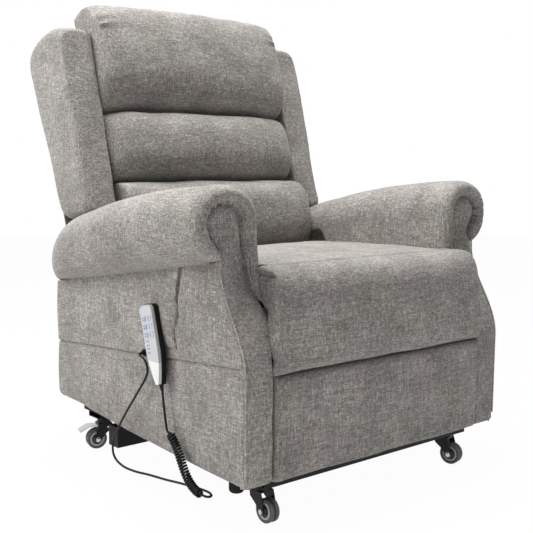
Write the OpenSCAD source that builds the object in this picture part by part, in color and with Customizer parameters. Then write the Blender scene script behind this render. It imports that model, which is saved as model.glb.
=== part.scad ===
// Lift recliner chair: an upholstered riser recliner on four twin-wheel castors.
// X runs across the chair, -Y is the front, +Z is up. The origin is on the floor, under the
// middle of the chair. All sizes are in millimetres.

/* [Seat] */
// Half width of the seat cushion
seat_half = 281; // [260:1:300]
// Height of the seat cushion's top above the floor
seat_top = 515; // [505:1:530]
// Thickness of the seat cushion
seat_thick = 130; // [122:1:134]
// Rear end of the seat cushion
seat_rear_y = 68; // [50:1:70]
// Front face of the chair
front_y = -445; // [-452:1:-440]
// Radius of the soft roll over the seat's front edge
roll_r = 80; // [74:1:82]
// How far the middle of a cushion stands above its edges
crown = 9; // [4:1:12]

/* [Arms] */
// Top of the arm roll at the front
arm_top_z = 672; // [660:1:680]
// Half width of the arm roll
arm_roll_half = 78; // [70:1:78]
// Width of the arm over its panels
arm_w = 70; // [66:1:80]
// Thickness of the arm's panels
panel_t = 12; // [8:1:14]
// Thickness of the padded front of the arm
arm_front_t = 18; // [14:1:20]
// Bottom of the side panels at the front
hem_front_z = 100; // [98:1:112]
// Bottom of the side panels at the rear
hem_rear_z = 138; // [120:1:150]

/* [Back] */
// Lean of the back from upright, in degrees
back_lean = 17; // [15:0.5:18]
// Length of the back above its frame's zero line
back_len = 500; // [480:1:520]
// Depth of the frame and its rear cover
back_depth = 66; // [60:1:74]
// Thickness of the wings across the chair
wing_t = 82; // [70:1:86]
// Height of the head pillow
head_h = 297; // [285:1:305]
// Height of the middle pillow
mid_h = 176; // [150:1:178]
// Height of the lumbar pillow
lumbar_h = 175; // [150:1:178]
// Thickness of the head pillow
head_t = 118; // [90:1:130]
// Thickness of the middle pillow
mid_t = 112; // [90:1:120]
// Thickness of the lumbar pillow
lumbar_t = 128; // [110:1:132]

/* [Legrest] */
// Height of the seam between the two legrest pads
leg_seam_z = 308; // [300:1:330]
// Thickness of the lower legrest pad
leg_pad_t = 46; // [40:1:46]
// Thickness of the legrest board
leg_board_t = 12; // [9:1:12]
// Bottom of the legrest
leg_bottom_z = 100; // [99:1:110]

/* [Steel] */
// Thickness of the link and side plates
plate_t = 6; // [4:0.5:6]
// Radius of the main pivot pins
pin_r = 6; // [4:0.5:7]
// Radius of the cross tubes
tube_r = 12; // [9:0.5:13]
// Width of the lift and legrest links
link_w = 28; // [22:1:30]
// Width of the base rails
rail_w = 34; // [28:1:34]
// Wall of the base tubes
tube_wall = 2.5; // [1.5:0.5:4]
// Radius of the actuator rods
rod_r = 10; // [8:0.5:11]

/* [Castors] */
// Radius of a castor wheel
wheel_r = 25; // [22:0.5:26]
// Width of one tread
tread_w = 10; // [8:0.5:11]
// Offset of the axle from the swivel axis
trail = 20; // [12:1:20]
// Radius of a castor axle
axle_r = 4; // [3:0.5:5]

/* [Handset] */
// Length of the handset
handset_len = 168; // [150:1:175]
// Width of the handset
handset_w = 46; // [40:1:50]
// Travel of a button
button_travel = 1; // [0.5:0.1:1.2]
// Radius of the cord
cord_r = 2.2; // [1.8:0.1:2.4]
// Outer radius of the curly part of the cord
curl_r = 8.3; // [7.5:0.1:8.6]
// Number of curls
curls = 25; // [20:1:25]

/* [Hidden] */
$fn = 48;

// Clearances: between flat neighbours, in a running fit, and between plates side by side
seat_gap = 0.3;
fit = 0.05;
side_gap = 2;

// Planes of the mechanism, from the seat outwards
leg_x = seat_half + 4;
plate_x = leg_x + plate_t + side_gap;
link_rear_x = plate_x + plate_t + 2 * side_gap;
link_front_x = link_rear_x + plate_t + side_gap;
lug_x = link_front_x + plate_t + side_gap;
rail_x = lug_x + plate_t - rail_w;
crank_x = leg_x - side_gap - plate_t;
coupler_x = crank_x - side_gap - plate_t;
arm_in = seat_half + 33.5;
arm_out = arm_in + arm_w;
side_in = arm_out - panel_t;
arm_mid_x = arm_in + 47.5;

// Pivots, as [y, z]
lift_a = [-300, 150];
lift_b = [-90, 175];
lift_c = [-150, 138];
lift_d = [211.1, 165];
leg_pivot = [front_y + roll_r, seat_top - roll_r];
crank_pivot = [-290, 320];
crank_elbow = [-302, 200.6];
leg_pin = [-372, 320];
recline = [170, 400];
back_pin = [200, 300];
lift_motor_p = [60, 130];
lift_rod_q = [-245, 245.3];
back_motor_p = [-200, 290];
leg_motor_p = [45, 235];
leg_rod_q = [-276.1, 241.2];
front_tube = [-235, 312];
rear_tube = [80, 250];
actuator_x = 140;

// Base
bar_z = 78;
bar_h = 20;
rail_z = bar_z + bar_h;
rail_h = 24;
front_bar_y = -377;
rear_bar_y = 244;
bar_w = 60;
beam_y = 95;
beam_z = 50;
stem_x = 287;
front_stem_y = -367;
stem_r = 5;
rail_front = -383;
beam_reach = 344;
bar_reach = 312;
rail_rear = rear_bar_y + bar_w / 2;
foot_at = [307, -312];
foot_r = 16;
foot_z = 45;

// Back
back_o = [210, 540];
wing_in = seat_half + 9;
wing_out = wing_in + wing_t;
pillow_gap = 3;
lumbar_low = -76;
mid_low = lumbar_low + lumbar_h + pillow_gap;
head_low = mid_low + mid_h + pillow_gap;
head_droop = 38;
head_fall = 26;
post_w = 40;

seat_under = seat_top - seat_thick;
spring_t = 4;
frame_top = seat_under - spring_t - 2 * seat_gap;
frame_z = 335;
arm_front_face = -358;
arm_roll_front = arm_front_face + 8;
arm_base_y = -340;
rear_y = 297;

// ---------- Helpers ----------

// A 2D shape given as [y, z], raised along X from x0
module yz(x0, t) {
  translate([x0, 0, 0]) rotate([90, 0, 90]) linear_extrude(t) children();
}

// Both sides of the chair
module both() {
  children();
  mirror([1, 0, 0]) children();
}

// A bar from p to q with eyes of diameter w at its ends, a little wider than the bar
module strap(p, q, w) {
  d = q - p;
  bar = w - 2;
  translate(p) circle(w / 2);
  translate(q) circle(w / 2);
  translate(p) rotate(atan2(d[1], d[0])) translate([0, -bar / 2]) square([norm(d), bar]);
}

// A cylinder along X at [y, z] from x0
module xcyl(x0, p, r, len) {
  translate([x0, p[0], p[1]]) rotate([0, 90, 0]) cylinder(r = r, h = len);
}

// A closed skin of triangles over rings of equal point count
module skin(rings) {
  n = len(rings[0]);
  m = len(rings);
  mid = function (r) [for (k = [0:2]) [for (p = r) p[k]] * [for (p = r) 1] / n];
  points = concat([for (r = rings) each r], [mid(rings[0]), mid(rings[m - 1])]);
  walls = [for (i = [0:m - 2]) for (j = [0:n - 1])
    let (a = i * n + j, b = i * n + (j + 1) % n) each [[a, b + n, b], [a, a + n, b + n]]];
  first = [for (j = [0:n - 1]) [m * n, j, (j + 1) % n]];
  last = [for (j = [0:n - 1]) [m * n + 1, (m - 1) * n + (j + 1) % n, (m - 1) * n + j]];
  polyhedron(points, concat(walls, first, last), convexity = 6);
}

// A signed power, for superellipses
function spow(v, e) = sign(v) * pow(abs(v), e);

// Stations from -half to half, closer together at the ends
function stations(half, n) = [for (i = [0:n]) -half * cos(180 * i / n)];

// How full a cushion is at x: 1 in the middle, falling to `edge` at its ends
function fullness(x, half, edge) =
  edge + (1 - edge) * pow(max(0, 1 - pow(abs(x) / half, 4)), 0.5);

// ---------- Base ----------

module hollow_bar(size) {
  difference() {
    cube(size);
    translate([-1, tube_wall, tube_wall])
      cube([size[0] + 2, size[1] - 2 * tube_wall, size[2] - 2 * tube_wall]);
  }
}

module base_frame() color([0.09, 0.09, 0.1]) {
  difference() {
    union() {
      for (y = [front_bar_y, rear_bar_y]) translate([-bar_reach, y - bar_w / 2, bar_z])
        hollow_bar([2 * bar_reach, bar_w, bar_h]);
      translate([-beam_reach, beam_y - 20, beam_z]) hollow_bar([2 * beam_reach, 40, rail_z - beam_z]);
      for (sx = [-1, 1]) for (y = [front_stem_y, rear_bar_y])
        translate([sx * stem_x, y, bar_z]) cylinder(r = stem_r + 6, h = bar_h);
      both() {
        translate([rail_x, rail_front, rail_z]) difference() {
          cube([rail_w, rail_rear - rail_front, rail_h]);
          translate([tube_wall, -1, tube_wall])
            cube([rail_w - 2 * tube_wall, rail_rear - rail_front + 2, rail_h - 2 * tube_wall]);
        }
        yz(lug_x, plate_t) {
          strap([lift_a[0], rail_z + 15], lift_a, 30);
          strap([lift_c[0], rail_z + 15], lift_c, 30);
        }
      }
      for (x = [-28, 22]) yz(x, plate_t) {
        strap([beam_y - 8, rail_z], lift_motor_p, 24);
        translate([beam_y - 20, rail_z - 2]) square([40, 10]);
      }
    }
    for (sx = [-1, 1]) for (y = [front_stem_y, rear_bar_y])
      translate([sx * stem_x, y, bar_z - 1]) cylinder(r = stem_r + fit, h = bar_h + 2);
    both() {
      xcyl(lug_x - 1, lift_a, pin_r + fit, plate_t + 2);
      xcyl(lug_x - 1, lift_c, pin_r + fit, plate_t + 2);
    }
  }
  xcyl(-28, lift_motor_p, pin_r - 1, 56);
}

module base_feet() color([0.05, 0.05, 0.05]) {
  cap = 6;
  both() {
    translate([foot_at[0], foot_at[1], 0]) rotate_extrude() polygon(concat(
      [[0, rail_z], [0, foot_z]],
      [for (a = [0:15:90]) [foot_r - 8 + 8 * sin(a), foot_z + 8 - 8 * cos(a)]],
      [[foot_r, rail_z]]));
    translate([beam_reach, beam_y - 20, beam_z]) cube([cap, 40, rail_z - beam_z]);
    translate([rail_x + 2, 200, rail_z + rail_h]) cube([9, 30, 148 - seat_gap - rail_z - rail_h]);
  }
}

// ---------- Castors, in their own frame: stem on Z, wheel towards -Y ----------

CASTORS = [
  ["fl", [-stem_x, front_stem_y], 0],
  ["fr", [stem_x, front_stem_y], 13.5],
  ["rl", [-stem_x, rear_bar_y], -105.5],
  ["rr", [stem_x, rear_bar_y], 70]
];
leg_in = tread_w + 5;
leg_t = 2.5;
head_z = 64;
pedal_pivot = [6, 55];

module at_castor(i) {
  c = CASTORS[i];
  translate([c[1][0], c[1][1], 0]) rotate([0, 0, c[2]]) children();
}

module castor_fork(braked) color([0.08, 0.08, 0.09]) {
  axle = [-trail, wheel_r];
  difference() {
    union() {
      for (x = [-leg_in - leg_t, leg_in]) yz(x, leg_t) {
        circle_at(axle, 8);
        polygon([[-trail - 8, wheel_r], [-trail - 2, wheel_r + 22], [-17, head_z], [17, head_z],
                 [15, head_z - 14], [-2, wheel_r + 12], [-trail + 8, wheel_r]]);
      }
      translate([-leg_in - leg_t, -17, head_z - 3]) cube([2 * (leg_in + leg_t), 34, 3]);
    }
    if (braked) xcyl(-leg_in - 5, pedal_pivot, 2.5 + fit, 2 * leg_in + 10);
  }
  translate([0, 0, head_z]) cylinder(r = 17, h = bar_z - head_z - seat_gap);
  translate([0, 0, head_z]) cylinder(r = stem_r, h = bar_z - head_z + bar_h - 2);
  xcyl(-leg_in - leg_t - 2, axle, axle_r, 2 * (leg_in + leg_t) + 4);
  for (x = [-leg_in - leg_t - 3, leg_in + leg_t]) xcyl(x, axle, 5.5, 3);
}

module circle_at(p, r) {
  translate(p) circle(r);
}

module castor_wheel() color([0.4, 0.4, 0.42]) {
  soft = 3;
  hub_r = 9;
  gap = 3;
  side = gap / 2 + tread_w;
  bore = axle_r + fit;
  half = concat(
    [[bore, leg_in - seat_gap], [hub_r, leg_in - seat_gap], [hub_r, side - 3], [13, side - 3], [14, side - 1],
     [18, side]],
    [for (a = [0:22.5:90]) [wheel_r - soft + soft * sin(a), side - soft + soft * cos(a)]],
    [for (a = [0:22.5:90]) [wheel_r - soft + soft * cos(a), gap / 2 + soft - soft * sin(a)]],
    [[hub_r + 1, gap / 2]]);
  n = len(half);
  translate([0, -trail, wheel_r]) rotate([0, 90, 0]) rotate_extrude()
    polygon(concat(half, [for (i = [n - 1:-1:0]) [half[i][0], -half[i][1]]]));
}

module brake_pedal() color([0.55, 0.56, 0.58]) {
  w = leg_in - 1;
  pad = [[pedal_pivot[0], 56], [-40, 57.5], [-62, 46], [-64, 49], [-42, 61], [pedal_pivot[0], 60]];
  yz(-w, 2 * w) polygon(pad);
  yz(-w, 2 * w) circle_at(pedal_pivot, 5);
  xcyl(-leg_in - 4, pedal_pivot, 2.5, 2 * leg_in + 8);
}

// ---------- Lift mechanism ----------

module front_lift_links() color([0.12, 0.12, 0.13]) {
  both() {
    yz(link_front_x, plate_t) strap(lift_a, lift_b, link_w);
    xcyl(link_front_x + 3, lift_a, pin_r, lug_x + plate_t - link_front_x);
    xcyl(plate_x - 3, lift_b, pin_r, link_front_x + 5 - plate_x);
    xcyl(link_front_x + plate_t - 1, lift_b, pin_r + 3, 2.7);
  }
  xcyl(-link_front_x - 2, lift_a, tube_r, 2 * link_front_x + 4);
  for (x = [-20, 14]) yz(x, plate_t) strap(lift_a, lift_rod_q, 28);
  for (x = [-15, 11.5]) xcyl(x, lift_rod_q, 8, 3.5);
}

module rear_lift_links() color([0.12, 0.12, 0.13]) {
  both() {
    yz(link_rear_x, plate_t) strap(lift_c, lift_d, link_w - 4);
    xcyl(link_rear_x + 3, lift_c, pin_r, lug_x + plate_t - link_rear_x);
    xcyl(link_rear_x + plate_t - 1, lift_d, pin_r + 3, 4);
  }
  xcyl(-link_rear_x - 2, lift_c, tube_r, 2 * link_rear_x + 4);
}

// The plates, tubes and flanges that carry the whole seat
module carriage() color([0.12, 0.12, 0.13]) {
  low = 302;
  difference() {
    union() {
      both() {
        yz(plate_x, plate_t) {
          strap([-300, low + 8], [205, low + 8], 50);
          strap([-300, low + 8], leg_pivot, 26);
          strap(crank_pivot, [-300, low + 8], 30);
          strap(lift_b, [lift_b[0], low], 34);
          strap(lift_d, [205, low], 34);
          strap(rear_tube, [rear_tube[0], low], 34);
          strap([recline[0], low], recline, 32);
        }
        xcyl(plate_x + plate_t - 1, lift_d, pin_r + 2, 2 * side_gap + 0.5);
        translate([plate_x - 30, -280, frame_z - seat_gap - 5]) cube([32, 360, 5]);
        for (y = [-210, 60]) translate([plate_x + 1, y, frame_z - 12])
          cube([arm_in - plate_x - 1 - seat_gap, 40, 20]);
      }
      xcyl(-plate_x - 2, front_tube, tube_r, 2 * plate_x + 4);
      xcyl(-plate_x - 2, rear_tube, tube_r, 2 * plate_x + 4);
      for (x = [16, -22]) {
        yz(x - actuator_x, plate_t) strap(front_tube, back_motor_p, 24);
        yz(x + actuator_x, plate_t) strap(rear_tube, leg_motor_p, 24);
      }
    }
    both() {
      xcyl(plate_x - 1, lift_b, pin_r + fit, plate_t + 2);
      xcyl(plate_x - 1, leg_pivot, pin_r + fit, plate_t + 2);
      xcyl(plate_x - 1, crank_pivot, pin_r + fit, plate_t + 2);
      xcyl(plate_x - 1, recline, pin_r + fit, plate_t + 2);
    }
  }
  xcyl(-actuator_x - 22, back_motor_p, pin_r - 1, 44);
  xcyl(actuator_x - 22, leg_motor_p, pin_r - 1, 44);
}

// ---------- Actuators: pivot eye at the origin, rod along +Y ----------

module between(p, q, x) {
  translate([x, p[0], p[1]]) rotate([atan2(q[1] - p[1], q[0] - p[0]), 0, 0]) children();
}

module actuator_body(tube_len) color([0.1, 0.1, 0.11]) {
  eye_w = 14;
  difference() {
    union() {
      xcyl(-eye_w, [0, 0], 11, 2 * eye_w);
      translate([-eye_w, 0, -11]) cube([2 * eye_w, 20, 22]);
      translate([-26, 16, -22]) cube([52, 46, 44]);
      translate([0, 20, 0]) rotate([-90, 0, 0]) cylinder(r = 18, h = tube_len - 20);
      translate([0, 39, 0]) rotate([0, 90, 0]) cylinder(r = 20, h = 95);
    }
    xcyl(-eye_w - 1, [0, 0], pin_r - 1 + fit, 2 * eye_w + 2);
    translate([0, 66, 0]) rotate([-90, 0, 0]) cylinder(r = rod_r + fit, h = tube_len);
  }
}

module actuator_rod(start, reach) color([0.72, 0.73, 0.75]) {
  translate([0, start, 0]) rotate([-90, 0, 0]) cylinder(r = rod_r, h = reach - start - 8);
  xcyl(-10.5, [reach, 0], 12, 21);
}

lift_reach = norm(lift_rod_q - lift_motor_p);
back_reach = norm(back_pin - back_motor_p);
leg_reach = norm(leg_rod_q - leg_motor_p);
lift_tube = 235;
back_tube = 285;
leg_tube = 285;

module lift_motor() between(lift_motor_p, lift_rod_q, 0) actuator_body(lift_tube);
module lift_rod() between(lift_motor_p, lift_rod_q, 0) actuator_rod(72, lift_reach);
module back_motor() between(back_motor_p, back_pin, -actuator_x) actuator_body(back_tube);
module back_rod() between(back_motor_p, back_pin, -actuator_x) actuator_rod(150, back_reach);
module leg_motor() between(leg_motor_p, leg_rod_q, actuator_x) actuator_body(leg_tube);
module leg_rod() between(leg_motor_p, leg_rod_q, actuator_x) actuator_rod(72, leg_reach);

// ---------- Seat ----------

module seat_frame() color([0.7, 0.55, 0.36]) {
  w = seat_half - 2;
  front = leg_pivot[0] + 66;
  rear = 110;
  h = frame_top - frame_z;
  for (x = [-w, w - 24]) translate([x, front, frame_z]) cube([24, rear - front, h]);
  for (y = [front, rear - 24]) translate([-w, y, frame_z]) cube([2 * w, 24, h]);
  translate([-w, -140, frame_z + 10]) cube([2 * w, 110, 12]);
}

// Five zigzag springs over the seat frame
module seat_springs() color([0.6, 0.6, 0.62]) {
  pitch = 24;
  amp = 18;
  turns = 15;
  y0 = leg_pivot[0] + 72;
  translate([0, 0, frame_top + seat_gap]) for (x = [-200:100:200]) linear_extrude(spring_t - seat_gap)
    for (i = [0:turns - 1]) translate([x, y0 + i * pitch]) {
      s = i % 2 == 0 ? 1 : -1;
      translate([s * amp, pitch / 2]) rotate(s > 0 ? -90 : 90) arc_ring(pitch / 2, spring_t);
      if (i > 0) translate([-amp, -spring_t / 2]) square([2 * amp, spring_t]);
    }
}

// Half a ring, bulging along +Y
module arc_ring(r, w) {
  difference() {
    circle(r + w / 2);
    circle(r - w / 2);
    translate([-2 * r, -2 * r]) square([4 * r, 2 * r]);
  }
}

// Outline of the seat cushion at one station: hollow at the front, where the roll turns in it
function seat_ring(x) =
  let (f = fullness(x, seat_half, 0.35), c = leg_pivot, drop = crown * (1 - f),
       a0 = asin((seat_under - c[1]) / roll_r), a1 = 75.5, step = (a1 - a0) / 10,
       r = (roll_r + seat_gap) / cos(step / 2),
       soft = 34, ry = seat_rear_y - soft, rz = seat_top - 8 - drop - soft,
       pull = 5 * f)
  concat(
    [for (i = [0:10]) let (a = a0 + step * i) [c[0] + r * cos(a), max(seat_under, c[1] + r * sin(a))]],
    [for (t = [0.25, 0.5, 0.75])
      [c[0] + 20 + t * (ry - c[0] - 20), seat_top - 2.2 - 6 * t - drop + 2 * sin(180 * t)]],
    [for (a = [90:-30:0]) [ry + soft * cos(a) - pull, rz + soft * sin(a)]],
    [[seat_rear_y - pull, seat_under]]);

module seat_cushion() color([0.46, 0.45, 0.43]) skin([for (x = stations(seat_half, 12))
  [for (p = seat_ring(x)) [x, p[0], p[1]]]]);

// ---------- Arms ----------

// Front edge of the arm: upright below, swept back in an S towards the roll
function arm_front_y(z) =
  let (t = min(1, max(0, (z - 310) / 210))) front_y + 9 + 78 * (1 - cos(180 * t)) / 2;
function arm_top(y) = let (d = max(0, y - arm_base_y)) arm_top_z - 0.037 * d - 0.000246 * d * d;
function arm_seam(y) = 535.5 - 0.16 * (y - arm_front_face);
function arm_under(y) = arm_seam(y) - 10;
function hem(y) = hem_front_z + (hem_rear_z - hem_front_z) * (y - front_y) / (rear_y - front_y);

// Front edge of an arm panel above a given height
function panel_edge(low) = concat(
  [[arm_front_y(low) + arm_front_t + seat_gap, low]],
  [for (z = [310:20:510]) if (z > low) [arm_front_y(z) + arm_front_t + seat_gap, z]]);

// Side view of an arm panel, from its lower edge to the seam under the roll
module arm_profile(low_front, low_rear, rear) {
  top = arm_under(arm_roll_front) - seat_gap;
  soft = 26;
  polygon(concat(
    panel_edge(low_front),
    [[arm_roll_front, top], [rear, arm_under(rear) - seat_gap]],
    [for (a = [0:-30:-90]) [rear - soft + soft * cos(a), low_rear + soft + soft * sin(a)]]));
}

module side_panel() color([0.46, 0.45, 0.43])
  yz(side_in, panel_t) arm_profile(hem(front_y + arm_front_t), hem(rear_y), rear_y);

// The inner panel has a thick pad above the hinges, beside the seat cushion
module arm_inner() color([0.46, 0.45, 0.43]) {
  pad_low = leg_pivot[1] + 17;
  pad_rear_y = 50;
  yz(arm_in, panel_t) arm_profile(frame_z - 2, frame_z - 2, rear_y - panel_t - seat_gap);
  yz(seat_half + 1, arm_in - seat_half) polygon(concat(
    panel_edge(pad_low),
    [[arm_roll_front, arm_under(arm_roll_front) - seat_gap], [pad_rear_y, arm_under(pad_rear_y) - seat_gap],
     [pad_rear_y, pad_low]]));
}

ARM_STATIONS = [arm_roll_front, -346, -338, -325, -300, -230, -150, -60, 30, 110, 170, 215, 250, 277, 294, 302];

function arm_ring(y) =
  let (front = y < -335 ? sqrt(1 - 0.3 * pow((-335 - y) / 15, 2)) : 1,
       rear = sqrt(max(0.02, 1 - pow(max(0, (y - 150) / 154), 2.5))),
       half = arm_roll_half * front * rear * (1 - 0.17 * pow(max(0, (y + 50) / 350), 2)),
       zb = arm_under(y), h = (arm_top(y) - zb) / 2 * rear)
  [for (i = [0:19]) let (a = 18 * i)
    [arm_mid_x + half * spow(cos(a), 0.85), y,
     zb + h * (1 + spow(sin(a), 0.85)) * (sin(a) > 0 ? (1 + front) / 2 : 1)]];

module arm_roll() color([0.5, 0.49, 0.47]) skin([for (y = ARM_STATIONS) arm_ring(y)]);

// Front of the arm: a strip with an arched scroll face, bent to the arm's front edge
module arm_front() color([0.48, 0.47, 0.45]) {
  face_x = arm_mid_x + 1;
  face_r = 36;
  face_z = arm_top_z - 78;
  intersection() {
    translate([0, 0, 0]) rotate([90, 0, 0]) translate([0, 0, 300]) linear_extrude(200) {
      polygon([[arm_in, hem_front_z], [arm_out, hem_front_z], [arm_out, face_z - 60],
               [face_x + face_r, face_z - 10], [face_x + face_r, face_z], [face_x - face_r, face_z],
               [face_x - face_r, face_z - 50], [arm_in, face_z - 90]]);
      translate([face_x, face_z]) circle(face_r);
    }
    yz(arm_in - 10, arm_w + 60) polygon(concat(
      [[arm_front_y(hem_front_z), hem_front_z - 1]],
      [for (z = [310:15:520]) [arm_front_y(z), z]],
      [[arm_front_face, arm_top_z], [arm_roll_front - seat_gap, arm_top_z], [arm_roll_front - seat_gap, 520]],
      [for (z = [505:-15:310]) [arm_front_y(z) + arm_front_t, z]],
      [[arm_front_y(hem_front_z) + arm_front_t, hem_front_z - 1]]));
  }
}

module rear_panel() color([0.44, 0.43, 0.41]) {
  x = side_in - seat_gap;
  low = hem(rear_y) + 4;
  translate([0, rear_y, 0]) rotate([90, 0, 0]) linear_extrude(panel_t)
    polygon([[-x, low], [x, low], [x, 418], [arm_in - 12, 418], [arm_in - 20, 358],
             [-arm_in + 20, 358], [-arm_in + 12, 418], [-x, 418]]);
}

module handset_pocket() color([0.42, 0.41, 0.39]) {
  yz(-arm_out - 8, 8 - seat_gap)
    polygon([[-213, arm_under(-213) - 1], [-182, arm_under(-182) - 1], [-143, 432], [-150, 400], [-160, 376],
             [-204, 374], [-206, 430]]);
}

module control_box() color([0.07, 0.07, 0.08]) {
  top = frame_z + 10 - seat_gap;
  difference() {
    translate([-75, -135, top - 38]) cube([150, 100, 38]);
    translate([-14, -45, top - 30]) cube([28, 20, 20]);
  }
}

// ---------- Back, in its own frame: Z up the back, -Y out of its front ----------

module in_back() {
  translate([0, back_o[0], back_o[1]]) rotate([-back_lean, 0, 0]) children();
}

post_low = -120;

module back_frame() color([0.7, 0.55, 0.36]) {
  post_in = seat_half - 1 - post_w;
  d = back_depth - 1;
  difference() {
    union() {
      in_back() {
        both() {
          translate([post_in, 0, post_low]) cube([post_w, d, back_len - 20 - post_low]);
          translate([post_in + post_w - 1, 0, 80]) cube([wing_in - seat_half + 1, d, back_len - 120]);
        }
        for (z = [post_low, 110, 280, back_len - 60])
          translate([-post_in - 1, 20, z]) cube([2 * post_in + 2, d - 20, 40]);
        for (z = [-60, 0, 60, 170, 230, 340, 400])
          translate([-post_in - 1, 0, z - 20]) cube([2 * post_in + 2, 5, 34]);
      }
      both() yz(seat_half - 4, plate_t + 3) strap(recline, [215, 466], 30);
      for (x = [14, -20]) yz(x - actuator_x, plate_t) {
        strap(back_pin, [195, 420], 26);
      }
      for (x = [11.5, -15]) xcyl(x - actuator_x, back_pin, 8, 3.5);
      both() xcyl(seat_half + 2, recline, pin_r, plate_x + plate_t - seat_half);
    }
  }
}

module back_cover() color([0.42, 0.41, 0.39]) in_back() {
  t = 15;
  y0 = back_depth + 0.5;
  translate([-wing_out, y0, 30]) cube([2 * wing_out, t, back_len - 34]);
  translate([-seat_half + 6, y0, -100]) cube([2 * seat_half - 12, t, 132]);
  translate([-wing_in + 1, 2, back_len - 20 + seat_gap]) cube([2 * wing_in - 2, y0, 12]);
}

// Side view of a wing, as [front, up] in the back's frame
WING = [[-back_depth, 38], [-back_depth, 130], [-back_depth, 300], [-back_depth, 482], [-40, 500], [20, 505],
        [66, 500], [104, 480], [114, 455], [108, 400], [104, 332], [97, 270], [89, 206], [77, 115], [64, 58]];

function wing_ring(s) =
  let (e = pow(abs(2 * s - 1), 3), c = [10, 270], out = s * s * 8)
  [for (p = WING)
    let (edge = 1 - (p[1] < 300 ? 0.06 : 0.13) * e, q = c + (p - c) * edge)
    [wing_in + wing_t * s, -(p[0] > 0 ? q[0] - out : max(q[0], -back_depth)), p[1] < 120 ? p[1] + 4 : q[1]]];

module wing() color([0.47, 0.46, 0.44]) in_back()
  skin([for (i = [0:10]) wing_ring((1 - cos(18 * i)) / 2)]);

// A pillow with a flat rear: crowned front, ends drawn in and drooping, top rounded towards the rear
module pillow(half, low, h, t, edge, droop, fall) {
  n = 17;
  pull = 7;
  in_back() skin([for (x = stations(half, 16)) let (f = fullness(x, half, edge), g = fullness(x, half, 0))
    [for (i = [0:n - 1]) let (a = 180 * i / (n - 1), c = spow(cos(a), 0.65))
      [x - sign(x) * pull * pow(abs(x) / half, 3) * (1 - c * c),
       -seat_gap - t * f * pow(sin(a), 0.55),
       low + (h - droop * (1 - g)) * (1 + c) / 2 - (c > 0 ? fall * c * pow(1 - pow(sin(a), 0.55), 1.5) : 0)]]]);
}

module lumbar_pillow() color([0.47, 0.46, 0.44]) pillow(seat_half, lumbar_low, lumbar_h, lumbar_t, 0.84, 6, 0);
module mid_pillow() color([0.47, 0.46, 0.44]) pillow(wing_in - 3, mid_low, mid_h, mid_t, 0.84, 6, 0);
module head_pillow() color([0.47, 0.46, 0.44])
  pillow(wing_in - 3, head_low, head_h, head_t, 0.74, head_droop, head_fall);

// ---------- Legrest ----------

leg_half = arm_in - 3.5;
pad_rear = front_y + leg_pad_t;

module legrest_frame() color([0.12, 0.12, 0.13]) {
  board_rear = pad_rear + seat_gap + leg_board_t;
  both() {
    yz(leg_x, plate_t) strap(leg_pivot, [leg_pivot[0] - 1, 150], 24);
    xcyl(leg_x + 2, leg_pivot, pin_r, plate_x + plate_t - leg_x);
    xcyl(coupler_x + plate_t + 0.5, leg_pin, 8, leg_x + 1 - coupler_x - plate_t);
    for (z = [150, 255]) {
      translate([leg_x - 30, board_rear + seat_gap, z]) cube([38, 3, 30]);
      translate([leg_x + 1, board_rear + seat_gap + 1, z + 1]) cube([plate_t - 2, 16, 28]);
    }
  }
}

module legrest_board() color([0.7, 0.55, 0.36])
  translate([-leg_half + 8, pad_rear + seat_gap, leg_bottom_z + 24])
    cube([2 * (leg_half - 8), leg_board_t, leg_seam_z - leg_bottom_z - 28]);

// A flat-backed pad between two heights, with soft edges
module flat_pad(half, z0, z1) {
  n = 13;
  mid = (z0 + z1) / 2;
  skin([for (x = stations(half, 12)) let (f = fullness(x, half, 0.5), g = fullness(x, half, 0.97))
    [for (i = [0:n - 1]) let (a = 180 * i / (n - 1), c = -spow(cos(a), 0.35))
      [x, pad_rear - leg_pad_t * f * pow(sin(a), 0.25), mid + (z1 - z0) / 2 * g * c]]]);
}

module legrest_pad() color([0.45, 0.44, 0.42]) flat_pad(leg_half, leg_bottom_z, leg_seam_z - 2);

// Upper pad: a slab with a half-round roll on top, which turns in the seat cushion's hollow front.
// Beyond the roll the slab goes on towards the arms.
module chaise_pad() color([0.47, 0.46, 0.44]) {
  low = leg_seam_z + 1;
  c = leg_pivot;
  main = function (x) let (f = fullness(x, seat_half, 0.6))
    concat([[pad_rear, low], [pad_rear, c[1]], [c[0] + roll_r - 0.2, c[1]]],
      [for (a = [15:15:165]) [c[0] + roll_r * cos(a), c[1] + (roll_r * f + (1 - f) * (roll_r - 8)) * sin(a)]],
      [[front_y + 6 * (1 - f), c[1]], [front_y + 6 * (1 - f), low + 12], [front_y + 8, low]]);
  side = function (x) let (f = 1 - sqrt(1 - 0.9 * pow((abs(x) - seat_half) / (leg_half - seat_half), 2)),
                           y0 = front_y + 60, y1 = front_y + 10 + 14 * f)
    concat([[y0, low], [y0, c[1] - 1], [y0, c[1]]],
      [for (i = [1:11]) [y0 + (y1 - y0) * i / 11, c[1] - 3 * pow(i / 11, 4)]],
      [[y1 - 6, c[1] - 14], [y1 - 6, low + 12], [y1, low]]);
  steps = [0.3, 9, 18, 25, 29, leg_half - seat_half];
  n = len(steps) - 1;
  skin(concat(
    [for (i = [n:-1:0]) let (x = -seat_half - steps[i]) [for (p = side(x)) [x, p[0], p[1]]]],
    [for (x = stations(seat_half, 12)) [for (p = main(x)) [x, p[0], p[1]]]],
    [for (i = [0:n]) let (x = seat_half + steps[i]) [for (p = side(x)) [x, p[0], p[1]]]]));
}

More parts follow.
